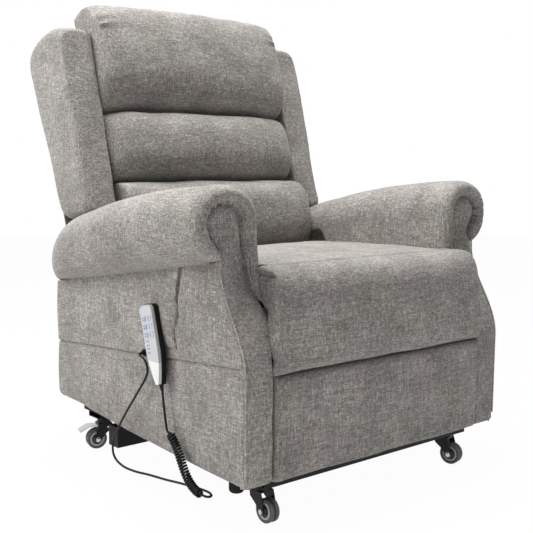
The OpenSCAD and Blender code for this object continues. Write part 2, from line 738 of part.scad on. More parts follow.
module leg_cranks() color([0.12, 0.12, 0.13]) {
  both() {
    yz(crank_x, plate_t) strap(crank_pivot, crank_elbow, link_w - 6);
    xcyl(crank_x + 2, crank_pivot, pin_r, plate_x + plate_t - crank_x);
    xcyl(coupler_x - 2, crank_elbow, pin_r, crank_x - coupler_x + 5);
  }
  xcyl(-crank_x - 2, crank_pivot, 10, 2 * crank_x + 4);
  for (x = [14, -20]) yz(x + actuator_x, plate_t) strap(crank_pivot, leg_rod_q, 24);
  for (x = [11.5, -15]) xcyl(x + actuator_x, leg_rod_q, 8, 3.5);
}

module leg_couplers() color([0.12, 0.12, 0.13]) both() {
  difference() {
    yz(coupler_x, plate_t) strap(crank_elbow, leg_pin, link_w - 6);
    xcyl(coupler_x - 1, crank_elbow, pin_r + fit, plate_t + 2);
  }
}

// ---------- Handset and cord ----------

handset_at = [-arm_out - 8 - seat_gap, -181, 258];
handset_tilt = 16;
shell_t = 11;
cover_t = 7;
BUTTONS = [["back_up", 0, 0], ["back_down", 1, 0], ["leg_up", 0, 1], ["leg_down", 1, 1],
           ["lift_up", 0, 2], ["lift_down", 1, 2]];
button_w = 12;
button_h = 10;

module in_handset() {
  translate(handset_at) rotate([-handset_tilt, 0, 0]) children();
}

// Outline of the handset, as [across, up]: wide at the keys, narrow where the cord leaves
module handset_outline(inset) {
  w = handset_w / 2 - inset;
  n = 9;
  polygon(concat(
    [for (i = [0:n]) let (t = i / n) [w * (0.24 + 0.76 * sin(90 * t)), inset + t * handset_len * 0.45]],
    [for (a = [0:15:90]) [w - 12 + 12 * cos(a), handset_len - inset - 12 + 12 * sin(a)]],
    [for (a = [90:15:180]) [-w + 12 + 12 * cos(a), handset_len - inset - 12 + 12 * sin(a)]],
    [for (i = [n:-1:0]) let (t = i / n) [-w * (0.24 + 0.76 * sin(90 * t)), inset + t * handset_len * 0.45]]));
}

module handset_shell() color([0.05, 0.05, 0.06]) in_handset() {
  yz(-shell_t, shell_t) handset_outline(0);
  translate([-shell_t / 2 - 3, 0, -12]) cylinder(r1 = 3.2, r2 = 5, h = 12.5);
}

module button_place(b) {
  translate([-shell_t - seat_gap - cover_t, (b[1] - 0.5) * 20, handset_len * 0.83 - b[2] * 17]) children();
}

module handset_cover() color([0.72, 0.73, 0.74]) in_handset() difference() {
  translate([-shell_t - seat_gap - cover_t, 0, 0]) yz(0, cover_t) handset_outline(1.5);
  for (b = BUTTONS) button_place(b)
    translate([-1, -button_w / 2 - seat_gap, -button_h / 2 - seat_gap])
      cube([6, button_w + 2 * seat_gap, button_h + 2 * seat_gap]);
}

module button(i) color([0.2, 0.3, 0.55]) in_handset() button_place(BUTTONS[i])
  translate([-1.2, -button_w / 2, -button_h / 2]) cube([1.2 + 5 - button_travel - 0.5, button_w, button_h]);

// Route of the plain cord, from the gland in the side seam to the curly part
PLAIN_ROUTE = [
  [-392.7, -95, 309], [-399, -96, 308], [-402, -101, 306], [-402, -111, 304], [-402, -121, 299], [-402, -129, 289],
  [-402, -131, 276], [-402, -124, 262], [-402, -114, 249], [-402, -100, 233], [-402, -86, 217], [-402, -66, 194],
  [-402, -45, 170], [-402, -26, 146], [-402, -9, 123], [-402, 4, 104], [-402, 11, 86], [-402, 11, 69],
  [-402, 4, 58], [-401, -8, 50], [-399, -28, 44], [-396, -52, 42], [-393, -80, 43], [-390, -110, 46],
  [-387, -142, 48], [-384, -174, 50], [-381, -206, 53], [-379, -238, 56], [-378, -270, 59], [-378, -298, 61],
  [-380, -318, 62], [-386, -332, 62], [-394, -337, 63], [-401, -335, 64], [-402, -328, 64.4], [-402, -318.4, 64.6]
];

// Control points of the curly part's axis, which hangs between the lead and the plain cord
curl_x = -402;
CURL = [[-206, 164], [-257, 142], [-250, 65], [-314, 64.7]];

function bezier(c, t) = pow(1 - t, 3) * c[0] + 3 * t * pow(1 - t, 2) * c[1]
  + 3 * t * t * (1 - t) * c[2] + pow(t, 3) * c[3];
function unit(v) = v / norm(v);

// A tube of n sides along points p, its rings square to the path and carried on without twist
function tube_rings(p, r, n) =
  let (last = len(p) - 1,
       dirs = [for (i = [0:last]) unit(p[min(i + 1, last)] - p[max(i - 1, 0)])],
       square = function (v, d) unit(v - (v * d) * d),
       start = square(abs(dirs[0][0]) < 0.8 ? [1, 0, 0] : [0, 0, 1], dirs[0]))
  [for (i = 0, s = start; i <= last; i = i + 1, s = i <= last ? square(s, dirs[i]) : s)
    let (t = cross(dirs[i], s)) [for (k = [0:n - 1]) p[i] + r * (s * cos(360 * k / n) + t * sin(360 * k / n))]];

curl_rings = 8;
curl_mean = curl_r - cord_r;
curl_steps = 40;
CURL_LENGTHS = [for (i = 0, s = 0; i <= curl_steps;
  s = s + (i < curl_steps ? norm(bezier(CURL, (i + 1) / curl_steps) - bezier(CURL, i / curl_steps)) : 0),
  i = i + 1) [s, i / curl_steps]];
curl_length = CURL_LENGTHS[curl_steps][0];
function curl_axis(s) = bezier(CURL, lookup(s * curl_length, CURL_LENGTHS));
// Straight ends one tube across, then curls that open to full size in their first turn
curl_lead = 2 * cord_r / curl_length;
function curl_point(s) =
  let (c = curl_axis(s), e = 0.01, d = unit(curl_axis(min(1, s + e)) - curl_axis(max(0, s - e))),
       u = (s - curl_lead) / (1 - 2 * curl_lead), a = 360 * curls * u,
       m = curl_mean * max(0, min(1, min(u, 1 - u) * curls)))
  [curl_x + m * sin(a), c[0] - d[1] * m * cos(a), c[1] + d[0] * m * cos(a)];
CURL_POINTS = concat(
  [curl_point(0)],
  [for (i = [0:curls * curl_rings]) curl_point(curl_lead + (1 - 2 * curl_lead) * i / (curls * curl_rings))],
  [curl_point(1)]);

curl_gap = min([for (i = [0:len(CURL_POINTS) - 1]) for (j = [i + 5:min(i + 14, len(CURL_POINTS) - 1)])
  norm(CURL_POINTS[i] - CURL_POINTS[j])]) - 2 * cord_r;
echo(curly_cord_least_gap_to_itself = curl_gap, curly_cord_length = curl_length);

module curly_cord() color([0.04, 0.04, 0.05]) skin(tube_rings(CURL_POINTS, cord_r, 6));
module plain_cord() color([0.04, 0.04, 0.05]) skin(tube_rings(PLAIN_ROUTE, cord_r, 8));

LEAD_ROUTE = [
  [-401.3, -184.4, 246.2], [-401.5, -186.5, 238], [-402, -189, 226], [-402, -192, 210], [-402, -195, 194],
  [-402, -198, 180], [-402, -200.3, 169.5], [-402, -203, 165.6], [-402, -205.6, 164.1]
];
module handset_lead() color([0.04, 0.04, 0.05]) skin(tube_rings(LEAD_ROUTE, cord_r, 8));

module cord_gland() color([0.05, 0.05, 0.05]) {
  xcyl(-arm_out - 3, [-95, 309], 8, 3 - seat_gap);
  xcyl(-arm_out - 8, [-95, 309], 5, 6);
}

// ---------- Nodes ----------

base_frame();
base_feet();
for (i = [0:3]) {
  at_castor(i) castor_fork(i > 1);
  at_castor(i) castor_wheel();
  if (i > 1) at_castor(i) brake_pedal();
}
front_lift_links();
rear_lift_links();
lift_motor();
lift_rod();
carriage();
seat_frame();
seat_springs();
seat_cushion();
mirror([1, 0, 0]) side_panel();  // side_panel_left
side_panel();  // side_panel_right
mirror([1, 0, 0]) arm_inner();  // arm_inner_left
arm_inner();  // arm_inner_right
mirror([1, 0, 0]) arm_roll();  // arm_roll_left
arm_roll();  // arm_roll_right
mirror([1, 0, 0]) arm_front();  // arm_front_left
arm_front();  // arm_front_right
rear_panel();
handset_pocket();
control_box();
back_frame();
back_cover();
mirror([1, 0, 0]) wing();  // wing_left
wing();  // wing_right
lumbar_pillow();
mid_pillow();
head_pillow();
back_motor();
back_rod();
legrest_frame();
legrest_board();
legrest_pad();
chaise_pad();
leg_cranks();
leg_couplers();
leg_motor();
leg_rod();
handset_shell();
handset_cover();
for (i = [0:5]) {
  button(i);
}
handset_lead();
curly_cord();
plain_cord();
cord_gland();
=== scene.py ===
# %% [markdown]
# # Dressing a lift recliner chair
# The chair's steel, timber, links and castors come from a CAD model and are already in their places.
# What is made here is what an upholsterer adds: padded covers, seams and pleats, and the finish of
# every surface. The CAD model is loaded first, because every new piece takes its place from it.

# %% Load the frame
import math
import bmesh
import bpy
import numpy as np
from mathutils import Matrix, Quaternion, Vector


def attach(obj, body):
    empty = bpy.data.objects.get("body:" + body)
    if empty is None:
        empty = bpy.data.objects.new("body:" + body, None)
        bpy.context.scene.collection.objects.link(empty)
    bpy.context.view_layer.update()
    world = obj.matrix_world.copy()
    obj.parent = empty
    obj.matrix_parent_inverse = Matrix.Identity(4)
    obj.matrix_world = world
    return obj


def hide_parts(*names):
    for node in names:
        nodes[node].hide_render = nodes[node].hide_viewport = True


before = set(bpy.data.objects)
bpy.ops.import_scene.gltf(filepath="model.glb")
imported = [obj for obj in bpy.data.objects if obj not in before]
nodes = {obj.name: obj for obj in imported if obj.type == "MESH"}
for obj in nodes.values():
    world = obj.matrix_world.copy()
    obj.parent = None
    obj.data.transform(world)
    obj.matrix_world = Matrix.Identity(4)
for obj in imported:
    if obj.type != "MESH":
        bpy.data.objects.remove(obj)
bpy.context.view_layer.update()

MM = 0.001

# %% [markdown]
# ## The camera
# The chair is seen from its front left corner, a little above the arms. A long lens keeps the
# proportions calm. The camera is turned by yaw and pitch, and a last half degree of roll.

# %% Camera
CAMERA_AT = (-1.45795, -1.74807, 0.72358)
CAMERA_YAW, CAMERA_PITCH, CAMERA_ROLL = (math.radians(a) for a in (40.494, 6.654, 0.487))
CAMERA_LENS, SENSOR_WIDTH = 63.09, 36       # mm

scene = bpy.context.scene
camera = bpy.data.objects.new("camera", bpy.data.cameras.new("camera"))
scene.collection.objects.link(camera)
scene.camera = camera
looks = Vector((math.sin(CAMERA_YAW) * math.cos(CAMERA_PITCH),
                math.cos(CAMERA_YAW) * math.cos(CAMERA_PITCH), -math.sin(CAMERA_PITCH)))
camera.rotation_mode = "QUATERNION"
camera.rotation_quaternion = looks.to_track_quat("-Z", "Y") @ Quaternion((0, 0, 1), CAMERA_ROLL)
camera.location = CAMERA_AT
camera.data.lens = CAMERA_LENS
camera.data.sensor_width = SENSOR_WIDTH
scene.view_settings.view_transform = "Standard"
print("camera looks along", [round(v, 3) for v in looks])

# %% [markdown]
# ## Light, floor and background
# Upholstery shows its shape by soft shading, so a large lamp hangs over the chair, a second stands
# high on its left and a weak one fills the front. The background is pure white to the camera and to
# gloss, but a calm grey as a light, so that it doesn't wash the fabric out.

# %% Lamps
CHAIR_MIDDLE = Vector((0, 0, 0.5))


def area_lamp(name, at, size, watts):
    """A square lamp of `size` metres that faces the middle of the chair."""
    data = bpy.data.lights.new(name, "AREA")
    data.size = size
    data.energy = watts
    lamp = bpy.data.objects.new(name, data)
    scene.collection.objects.link(lamp)
    lamp.location = at
    lamp.rotation_mode = "QUATERNION"
    lamp.rotation_quaternion = (CHAIR_MIDDLE - Vector(at)).to_track_quat("-Z", "Y")
    print(name, watts, "W")


area_lamp("key_lamp", (-1.8, 0.9, 2.1), 1.2, 52)
area_lamp("top_lamp", (0.0, 0.12, 3.2), 1.5, 106)
area_lamp("front_lamp", (-0.4, -3.4, 1.0), 1.8, 7)

# %% Helpers for node trees
def add_node(tree, kind, inputs, **settings):
    """Adds a shader node and returns its outputs. `inputs` gives a socket a value, or the output that
    is linked to it."""
    node = tree.nodes.new("ShaderNode" + kind)
    for setting, value in settings.items():
        setattr(node, setting, value)
    for socket, value in inputs.items():
        if isinstance(value, bpy.types.NodeSocket):
            tree.links.new(value, node.inputs[socket])
        else:
            node.inputs[socket].default_value = value
    return node.outputs


def seen_directly(tree):
    """1 for rays of the camera, of gloss and of glass, 0 for those that carry light and shadow."""
    path = add_node(tree, "LightPath", {})
    either = add_node(tree, "Math", {0: path["Is Camera Ray"], 1: path["Is Glossy Ray"]}, operation="MAXIMUM")
    return add_node(tree, "Math", {0: either[0], 1: path["Is Transmission Ray"]}, operation="MAXIMUM")[0]


def empty_tree(owner):
    """The node tree of a material or world, with nothing in it."""
    owner.use_nodes = True
    owner.node_tree.nodes.clear()
    return owner.node_tree

# %% Background
WHITE = (1, 1, 1, 1)
ROOM_COLOUR, ROOM_STRENGTH = (0.93, 0.96, 1.0, 1), 0.24     # the grey that lights the chair

world = bpy.data.worlds.new("studio")
scene.world = world
tree = empty_tree(world)
room = add_node(tree, "Background", {"Color": ROOM_COLOUR, "Strength": ROOM_STRENGTH})
backdrop = add_node(tree, "Background", {"Color": WHITE})
sky = add_node(tree, "MixShader", {0: seen_directly(tree), 1: room[0], 2: backdrop[0]})
add_node(tree, "OutputWorld", {0: sky[0]})
print("background:", len(tree.nodes), "nodes")

# %% Floor
FLOOR_HALF = 6.0            # metres
FLOOR_COLOUR = (0.86, 0.86, 0.86, 1)
FLOOR_OWN_LIGHT = 0.97      # how much of the floor's white is its own, the rest shows the shadow

corners = [(x * FLOOR_HALF, y * FLOOR_HALF, 0) for x, y in ((-1, -1), (1, -1), (1, 1), (-1, 1))]
floor_mesh = bpy.data.meshes.new("floor")
floor_mesh.from_pydata(corners, [], [(0, 1, 2, 3)])
floor = bpy.data.objects.new("floor", floor_mesh)
scene.collection.objects.link(floor)
floor_paint = bpy.data.materials.new("pale_floor")
tree = empty_tree(floor_paint)
matt = add_node(tree, "BsdfDiffuse", {"Color": FLOOR_COLOUR})
glow = add_node(tree, "Emission", {"Color": WHITE})
share = add_node(tree, "Math", {0: seen_directly(tree), 1: FLOOR_OWN_LIGHT}, operation="MULTIPLY")
paint = add_node(tree, "MixShader", {0: share[0], 1: matt[0], 2: glow[0]})
add_node(tree, "OutputMaterial", {0: paint[0]})
floor_mesh.materials.append(floor_paint)
print("floor:", 2 * FLOOR_HALF, "m wide")

# %% [markdown]
# ## Finishes
# Each finish is a Principled surface whose colour, roughness and bump come from noise at the size
# that the real thing has. One helper writes the node tree from a few layers: every layer is a noise
# stretched by its own cell size, in millimetres, along X, Y and Z of the chair.

# %% Helpers for finishes
def linear(r, g, b):
    """A colour given in display values from 0 to 255, as the linear values that a shader takes."""
    return tuple(((c / 255 + 0.055) / 1.055) ** 2.4 if c > 10 else c / 255 / 12.92 for c in (r, g, b)) + (1,)


class Finish:
    """A material whose nodes are added step by step."""

    def __init__(self, name, rough, metallic=0.0):
        self.material = bpy.data.materials.new(name)
        self.material.use_nodes = True
        self.tree = self.material.node_tree
        self.shader = self.tree.nodes["Principled BSDF"]
        self.shader.inputs["Roughness"].default_value = rough
        self.shader.inputs["Metallic"].default_value = metallic
        self.place = self.node("TexCoord", {})["Object"]

    def node(self, kind, inputs, **settings):
        return add_node(self.tree, kind, inputs, **settings)

    def link(self, value, socket):
        self.tree.links.new(value, self.shader.inputs[socket])

    def noise(self, cell, detail=2.0, rough=0.5):
        """Noise whose cells measure `cell` = (x, y, z) in millimetres."""
        stretched = self.node("Mapping", {"Vector": self.place, "Scale": tuple(1000 / c for c in cell)})
        return self.node("TexNoise", {"Vector": stretched[0], "Scale": 1.0, "Detail": detail,
                                      "Roughness": rough})["Fac"]

    def maths(self, kind, a, b):
        return self.node("Math", {0: a, 1: b}, operation=kind)[0]

    def ramp(self, value, stops):
        """A colour for each value: stops are (place, colour)."""
        node = self.tree.nodes.new("ShaderNodeValToRGB")
        first, last = node.color_ramp.elements[0], node.color_ramp.elements[1]
        first.position, first.color = stops[0]
        last.position, last.color = stops[-1]
        for place, colour in stops[1:-1]:
            node.color_ramp.elements.new(place).color = colour
        self.tree.links.new(value, node.inputs[0])
        return node.outputs["Color"]

    def mix(self, kind, amount, a, b):
        """Two colours mixed: of Mix's sockets, 0 is the factor, 6 and 7 are the colours, 2 the result."""
        return self.node("Mix", {0: amount, 6: a, 7: b}, data_type="RGBA", blend_type=kind)[2]

    def flecked(self, pattern, amount, colour, fleck):
        """A plain colour with flecks of another, as strong as the pattern times `amount`."""
        self.link(self.mix("MIX", self.maths("MULTIPLY", pattern, amount), colour, fleck), "Base Color")

    def bump(self, height, millimetres, strength=1.0):
        relief = self.node("Bump", {"Height": height, "Distance": millimetres * MM, "Strength": strength})
        self.link(relief[0], "Normal")

    def roughness(self, value, low, high):
        self.link(self.node("MapRange", {"Value": value, "To Min": low, "To Max": high})[0], "Roughness")

# %% [markdown]
# ### The upholstery
# The cloth is a grey tweed: soft slubbed yarns of light and dark grey, which show as short streaks
# along the weft and fainter ones across it. Broad, weak patches of warmer and cooler grey keep it
# from looking printed.

# %% Upholstery
YARN_DARK = linear(66, 63, 60)
YARN_MID = linear(138, 134, 129)
YARN_LIGHT = linear(219, 215, 209)
WARM, COOL = (1.025, 0.99, 1.0, 1), (0.995, 1.008, 0.98, 1)     # factors of the broad patches
STREAK, YARN, SLUB = 12.0, 1.4, (46.0, 4.0)     # mm


def tweed(name, tone=1.0):
    """Slubbed cloth. Three sets of streaks run along X, Y and Z, so every face shows two that cross like
    weft and warp, and the third end-on as grain. Long, thicker slubs are added in the same way."""
    f = Finish(name, 0.94)

    def crossing(length, width, detail):
        sets = [f.noise(tuple(length if k == axis else width for k in range(3)), detail) for axis in range(3)]
        return f.maths("ADD", f.maths("ADD", sets[0], sets[1]), sets[2])

    fine = f.maths("MULTIPLY", crossing(STREAK, YARN, 1.0), 0.24)
    slubs = f.maths("MULTIPLY", crossing(*SLUB, 1.0), 0.093)
    yarns = f.maths("ADD", fine, slubs)
    clouds = f.noise((95, 95, 95))
    level = f.maths("ADD", f.maths("MULTIPLY", yarns, 0.9), f.maths("MULTIPLY", clouds, 0.1))
    cloth = f.ramp(level, [(0.35, YARN_DARK), (0.5, YARN_MID), (0.65, YARN_LIGHT)])
    tint = f.ramp(f.noise((120, 120, 120), 1.0), [(0.36, WARM), (0.5, WHITE), (0.64, COOL)])
    cloth = f.mix("MULTIPLY", 1.0, cloth, tint)
    if tone != 1.0:
        cloth = f.mix("MULTIPLY", 1.0, cloth, (tone, tone, tone, 1))
    f.link(cloth, "Base Color")
    f.bump(yarns, 1.0, 0.8)
    for socket, value in (("Sheen Weight", 0.15), ("Sheen Roughness", 0.5), ("Specular IOR Level", 0.15)):
        f.shader.inputs[socket].default_value = value
    return f.material


tweed_seat = tweed("tweed")
tweed_rear = tweed("tweed_rear", 0.93)
# the seam cords: the same tweed made 1.3 times lighter, a painted highlight along the stitched edges
seam_cloth_painted_highlight = tweed("seam_cloth_painted_highlight", 1.3)
print("tweed:", len(tweed_seat.node_tree.nodes), "nodes")

# %% Steel, timber, plastic and rubber
def powder_coat(name, colour, rough=0.45):
    """Black powder coat: fine orange peel, a little dust on top."""
    f = Finish(name, rough)
    peel = f.noise((1.6, 1.6, 1.6), 2.0)
    wear = f.noise((60, 60, 60), 4.0)
    f.flecked(wear, 0.25, colour, linear(44, 44, 46))
    f.roughness(wear, rough - 0.08, rough + 0.15)
    f.bump(peel, 0.12, 0.6)
    return f.material


def bright_metal(name, colour, rough=0.25):
    """Plated or ground steel: fine lines round its length, faint stains."""
    f = Finish(name, rough, 1.0)
    lines = f.noise((0.5, 6, 6), 2.0)
    stain = f.noise((22, 22, 22), 3.0)
    f.flecked(stain, 0.3, colour, linear(120, 120, 122))
    f.roughness(lines, rough - 0.05, rough + 0.15)
    f.bump(lines, 0.03, 0.5)
    return f.material


def timber(name):
    """Planed softwood: grain lines along X, which change between darker and paler wood."""
    f = Finish(name, 0.6)
    grain = f.noise((260, 5, 5), 4.0, 0.6)
    pores = f.noise((30, 0.8, 0.8), 2.0)
    shades = [(0.3, linear(150, 112, 70)), (0.55, linear(196, 160, 112)), (0.75, linear(214, 184, 140))]
    f.link(f.ramp(grain, shades), "Base Color")
    f.roughness(pores, 0.5, 0.75)
    f.bump(pores, 0.2, 0.5)
    return f.material


def spark_grain(f, colour, fleck, pale, rough):
    """The surface of a moulding: a fine spark-eroded grain, with broad patches towards `pale`."""
    broad = f.noise((18, 18, 18), 3.0)
    f.flecked(broad, fleck, colour, pale)
    f.roughness(broad, rough - 0.07, rough + 0.1)
    f.bump(f.noise((0.7, 0.7, 0.7)), 0.05, 0.5)
    return f.material


def moulded(name, colour, rough=0.4, fleck=0.08):
    """Moulded plastic or rubber of one colour."""
    return spark_grain(Finish(name, rough), colour, fleck, linear(150, 150, 150), rough)


def two_tone(name, border, above, below, rough):
    """Moulded plastic in two colours that meet at the height `border` in millimetres."""
    f = Finish(name, rough)
    upper = f.maths("GREATER_THAN", f.node("SeparateXYZ", {0: f.place})["Z"], border * MM)
    return spark_grain(f, f.mix("MIX", upper, below, above), 0.12, linear(160, 160, 160), rough)


black_coat = powder_coat("black_powder_coat", linear(8, 8, 9))
motor_case = moulded("motor_case", linear(34, 34, 36), 0.5)
rod_steel = bright_metal("ground_steel", linear(196, 198, 202), 0.2)
spring_wire = bright_metal("spring_wire", linear(150, 150, 152), 0.35)
axle_plate = bright_metal("zinc_plate", linear(205, 206, 208), 0.22)
frame_timber = timber("frame_timber")
black_plastic = moulded("black_plastic", linear(14, 14, 15), 0.32, 0.03)
silver_plastic = moulded("silver_plastic", linear(206, 210, 212), 0.34, 0.2)
mark_blue = moulded("blue_marks", linear(74, 92, 190), 0.4, 0.05)
cord_rubber = moulded("cord_rubber", linear(13, 13, 14), 0.42, 0.03)
foot_rubber = moulded("foot_rubber", linear(26, 26, 26), 0.75, 0.1)
tread_rubber = moulded("tread_rubber", linear(92, 92, 94), 0.6, 0.25)
hub_plastic = moulded("hub_plastic", linear(52, 52, 54), 0.4, 0.1)
hub_ring = moulded("hub_ring", linear(226, 226, 224), 0.35, 0.15)
DULL = 0.2      # black parts mirror less of the white room than the usual 0.5, so that they stay black
for finish in (black_coat, black_plastic, cord_rubber, motor_case, foot_rubber):
    finish.node_tree.nodes["Principled BSDF"].inputs["Specular IOR Level"].default_value = DULL
handset_face = two_tone("handset_face", 305, linear(200, 202, 203), linear(236, 236, 234), 0.3)

# %% Finishes of the CAD pieces
def dress(finish, *names):
    """Gives CAD nodes a finish in place of their plain colour."""
    for n in names:
        nodes[n].data.materials.clear()
        nodes[n].data.materials.append(finish)


dress(black_coat, "base_frame", "front_lift_links", "rear_lift_links", "leg_cranks", "leg_couplers",
      "carriage", "legrest_frame")
dress(black_plastic, *(n for n in nodes if n.startswith("castor_fork_")), "handset_shell", "control_box",
      "cord_gland")
dress(frame_timber, "seat_frame", "back_frame", "legrest_board")
dress(spring_wire, "seat_springs")
dress(motor_case, "lift_motor", "back_motor", "leg_motor")
dress(rod_steel, "lift_rod", "back_rod", "leg_rod")
dress(foot_rubber, "base_feet")
dress(axle_plate, "brake_pedal_rl", "brake_pedal_rr")
dress(handset_face, "handset_cover")
dress(silver_plastic, *(n for n in nodes if n.startswith("button_")))
print(len(bpy.data.materials), "finishes")

# %% [markdown]
# ## Surfaces from formulas
# Every cover is a grid of points worked out with numpy. A grid becomes a mesh in one of two ways:
# a loft closes each row into a ring and fills its two ends, and a pad joins an outer and an inner
# grid along their four borders. Points are in millimetres until they go into the mesh.

# %% Mesh helpers
SHARP = math.radians(55)        # edges that turn by more than this keep a crisp line


def vec(*coordinates):
    """Points from their coordinates, numbers or arrays, one after another along a last axis."""
    return np.stack(np.broadcast_arrays(*coordinates), -1)


def grid_faces(rows, columns, closed):
    """Quads between neighbouring points of a grid; with `closed`, the last column meets the first."""
    i, j = np.meshgrid(np.arange(rows - 1), np.arange(columns if closed else columns - 1), indexing="ij")
    a = i * columns + j
    b = i * columns + (j + 1) % columns
    return vec(a, b, b + columns, a + columns).reshape(-1, 4)


def make_mesh(name, points, faces, finish, body, smooth=True):
    """A piece from points in millimetres and quads, which rides on `body`. Faces are turned outwards."""
    mesh = bpy.data.meshes.new(name)
    mesh.from_pydata((np.asarray(points, float) * MM).tolist(), [], [list(map(int, f)) for f in faces])
    mesh.validate()
    work = bmesh.new()
    work.from_mesh(mesh)
    bmesh.ops.remove_doubles(work, verts=work.verts, dist=1e-6)
    bmesh.ops.dissolve_degenerate(work, edges=work.edges, dist=1e-7)
    bmesh.ops.recalc_face_normals(work, faces=work.faces)
    work.to_mesh(mesh)
    work.free()
    mesh.polygons.foreach_set("use_smooth", np.full(len(mesh.polygons), smooth))
    if smooth:
        mesh.set_sharp_from_angle(angle=SHARP)
    mesh.materials.append(finish)
    piece = bpy.data.objects.new(name, mesh)
    scene.collection.objects.link(piece)
    if body:
        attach(piece, body)
    return piece


def loft(name, rings, finish, body, cap=4):
    """A closed skin over rings (rows, points, 3). Each end is filled by `cap` rings that shrink to its
    middle."""
    rings = np.asarray(rings, float)

    def closing(ring):
        middle = ring.mean(0)
        return [middle + (ring - middle) * s for s in np.linspace(1, 0.02, cap + 1)[1:]]

    rows = np.concatenate([closing(rings[0])[::-1], rings, closing(rings[-1])])
    m, n = rows.shape[:2]
    faces = grid_faces(m, n, True)
    points = np.concatenate([rows.reshape(-1, 3), [rows[0].mean(0), rows[-1].mean(0)]])
    j = np.arange(n)
    ends = np.concatenate([vec(m * n, (j + 1) % n, j),
                           vec(m * n + 1, (m - 1) * n + j, (m - 1) * n + (j + 1) % n)])
    return make_mesh(name, points, [*faces, *ends], finish, body)


def pad(name, outer, inner, finish, body):
    """A closed pad between two grids of the same size, joined along their borders."""
    outer, inner = np.asarray(outer, float), np.asarray(inner, float)
    m, n = outer.shape[:2]
    count = m * n
    front = grid_faces(m, n, False)
    back = front[:, ::-1] + count
    border = np.concatenate([np.arange(n), np.arange(1, m) * n + n - 1,
                             (m - 1) * n + np.arange(n - 2, -1, -1), np.arange(m - 2, 0, -1) * n])
    following = np.roll(border, -1)
    sides = vec(border, border + count, following + count, following)
    points = np.concatenate([outer.reshape(-1, 3), inner.reshape(-1, 3)])
    return make_mesh(name, points, np.concatenate([front, back, sides]), finish, body)

# %% Helpers for covers
SIDES = {-1: "left", 1: "right"}


def on_side(side, points):
    """Points worked out for the right side, and mirrored across the chair for the left one."""
    return np.asarray(points) * np.array([float(side), 1.0, 1.0])


def cover(piece, node):
    """Hides the CAD node that a padded cover replaces, and returns the cover."""
    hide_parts(node)
    return piece


def arm_pad(name, node, side, outer, inner):
    """A pad of one arm, from grids worked out for the right side, and the CAD node that it covers."""
    piece = pad(name + "_" + SIDES[side], on_side(side, outer), on_side(side, inner), tweed_seat, "seat")
    return cover(piece, node + "_" + SIDES[side])


def power(v, e):
    """A signed power, which squares off circles."""
    return np.sign(v) * np.abs(v) ** e


def smooth(low, high, v):
    """0 below `low`, 1 above `high`, an S between."""
    t = np.clip((v - low) / (high - low), 0, 1)
    return t * t * (3 - 2 * t)


def ends_close(count, half=1.0):
    """Stations from -half to half, closer together at the ends."""
    return -half * np.cos(np.pi * np.arange(count) / (count - 1))

# %% [markdown]
# Stuffing never lies quite even under cloth. Each cover is therefore lifted a little along its
# normals by a smooth random height. It is a sum of a few long waves, which is cheaper than a cloth
# simulation and comes out the same every time, because each cover has its own seed.

# %% Unevenness under the cloth
def ripple(points, size, seed, waves=14):
    """A smooth random height, mostly from -1 to 1: plane waves about `size` mm long, which run in
    random directions, are summed."""
    rng = np.random.default_rng(seed)
    total = np.zeros(points.shape[:-1])
    for _ in range(waves):
        direction = rng.normal(size=3)
        direction /= np.linalg.norm(direction)
        length = size * rng.uniform(0.7, 1.6)
        total += np.cos(2 * np.pi * (points @ direction) / length + rng.uniform(0, 2 * np.pi))
    return total / np.sqrt(waves / 2) / 2


def grid_normals(points, closed=False):
    """Unit normals of a grid from the differences along its rows and columns."""
    along = np.gradient(points, axis=0)
    if closed:
        around = (np.roll(points, -1, 1) - np.roll(points, 1, 1)) / 2
    else:
        around = np.gradient(points, axis=1)
    n = np.cross(along, around)
    return n / np.maximum(np.linalg.norm(n, axis=-1, keepdims=True), 1e-9)


def soften(points, amount, size, seed, closed=False):
    """Lifts a grid along its normals by a smooth random height, as stuffing does under cloth. The amount
    in millimetres is one number, or a grid that keeps some places true."""
    return points + grid_normals(points, closed) * (amount * ripple(points, size, seed))[..., None]

# %% Tubes
def tube(name, path, radius, finish, body, sides=8):
    """A thin closed tube along `path` (points in mm): rings square to the path, carried on without twist."""
    path = np.asarray(path, float)
    ahead = np.gradient(path, axis=0)
    ahead /= np.linalg.norm(ahead, axis=1, keepdims=True)
    side = np.cross(ahead[0], [0, 0, 1.0] if abs(ahead[0][2]) < 0.9 else [1.0, 0, 0])
    rings, angle = [], 2 * np.pi * np.arange(sides) / sides
    for p, d in zip(path, ahead):
        side = side - (side @ d) * d
        side /= np.linalg.norm(side)
        other = np.cross(d, side)
        rings.append(p + radius * (np.outer(np.cos(angle), side) + np.outer(np.sin(angle), other)))
    return loft(name, rings, finish, body, cap=1)
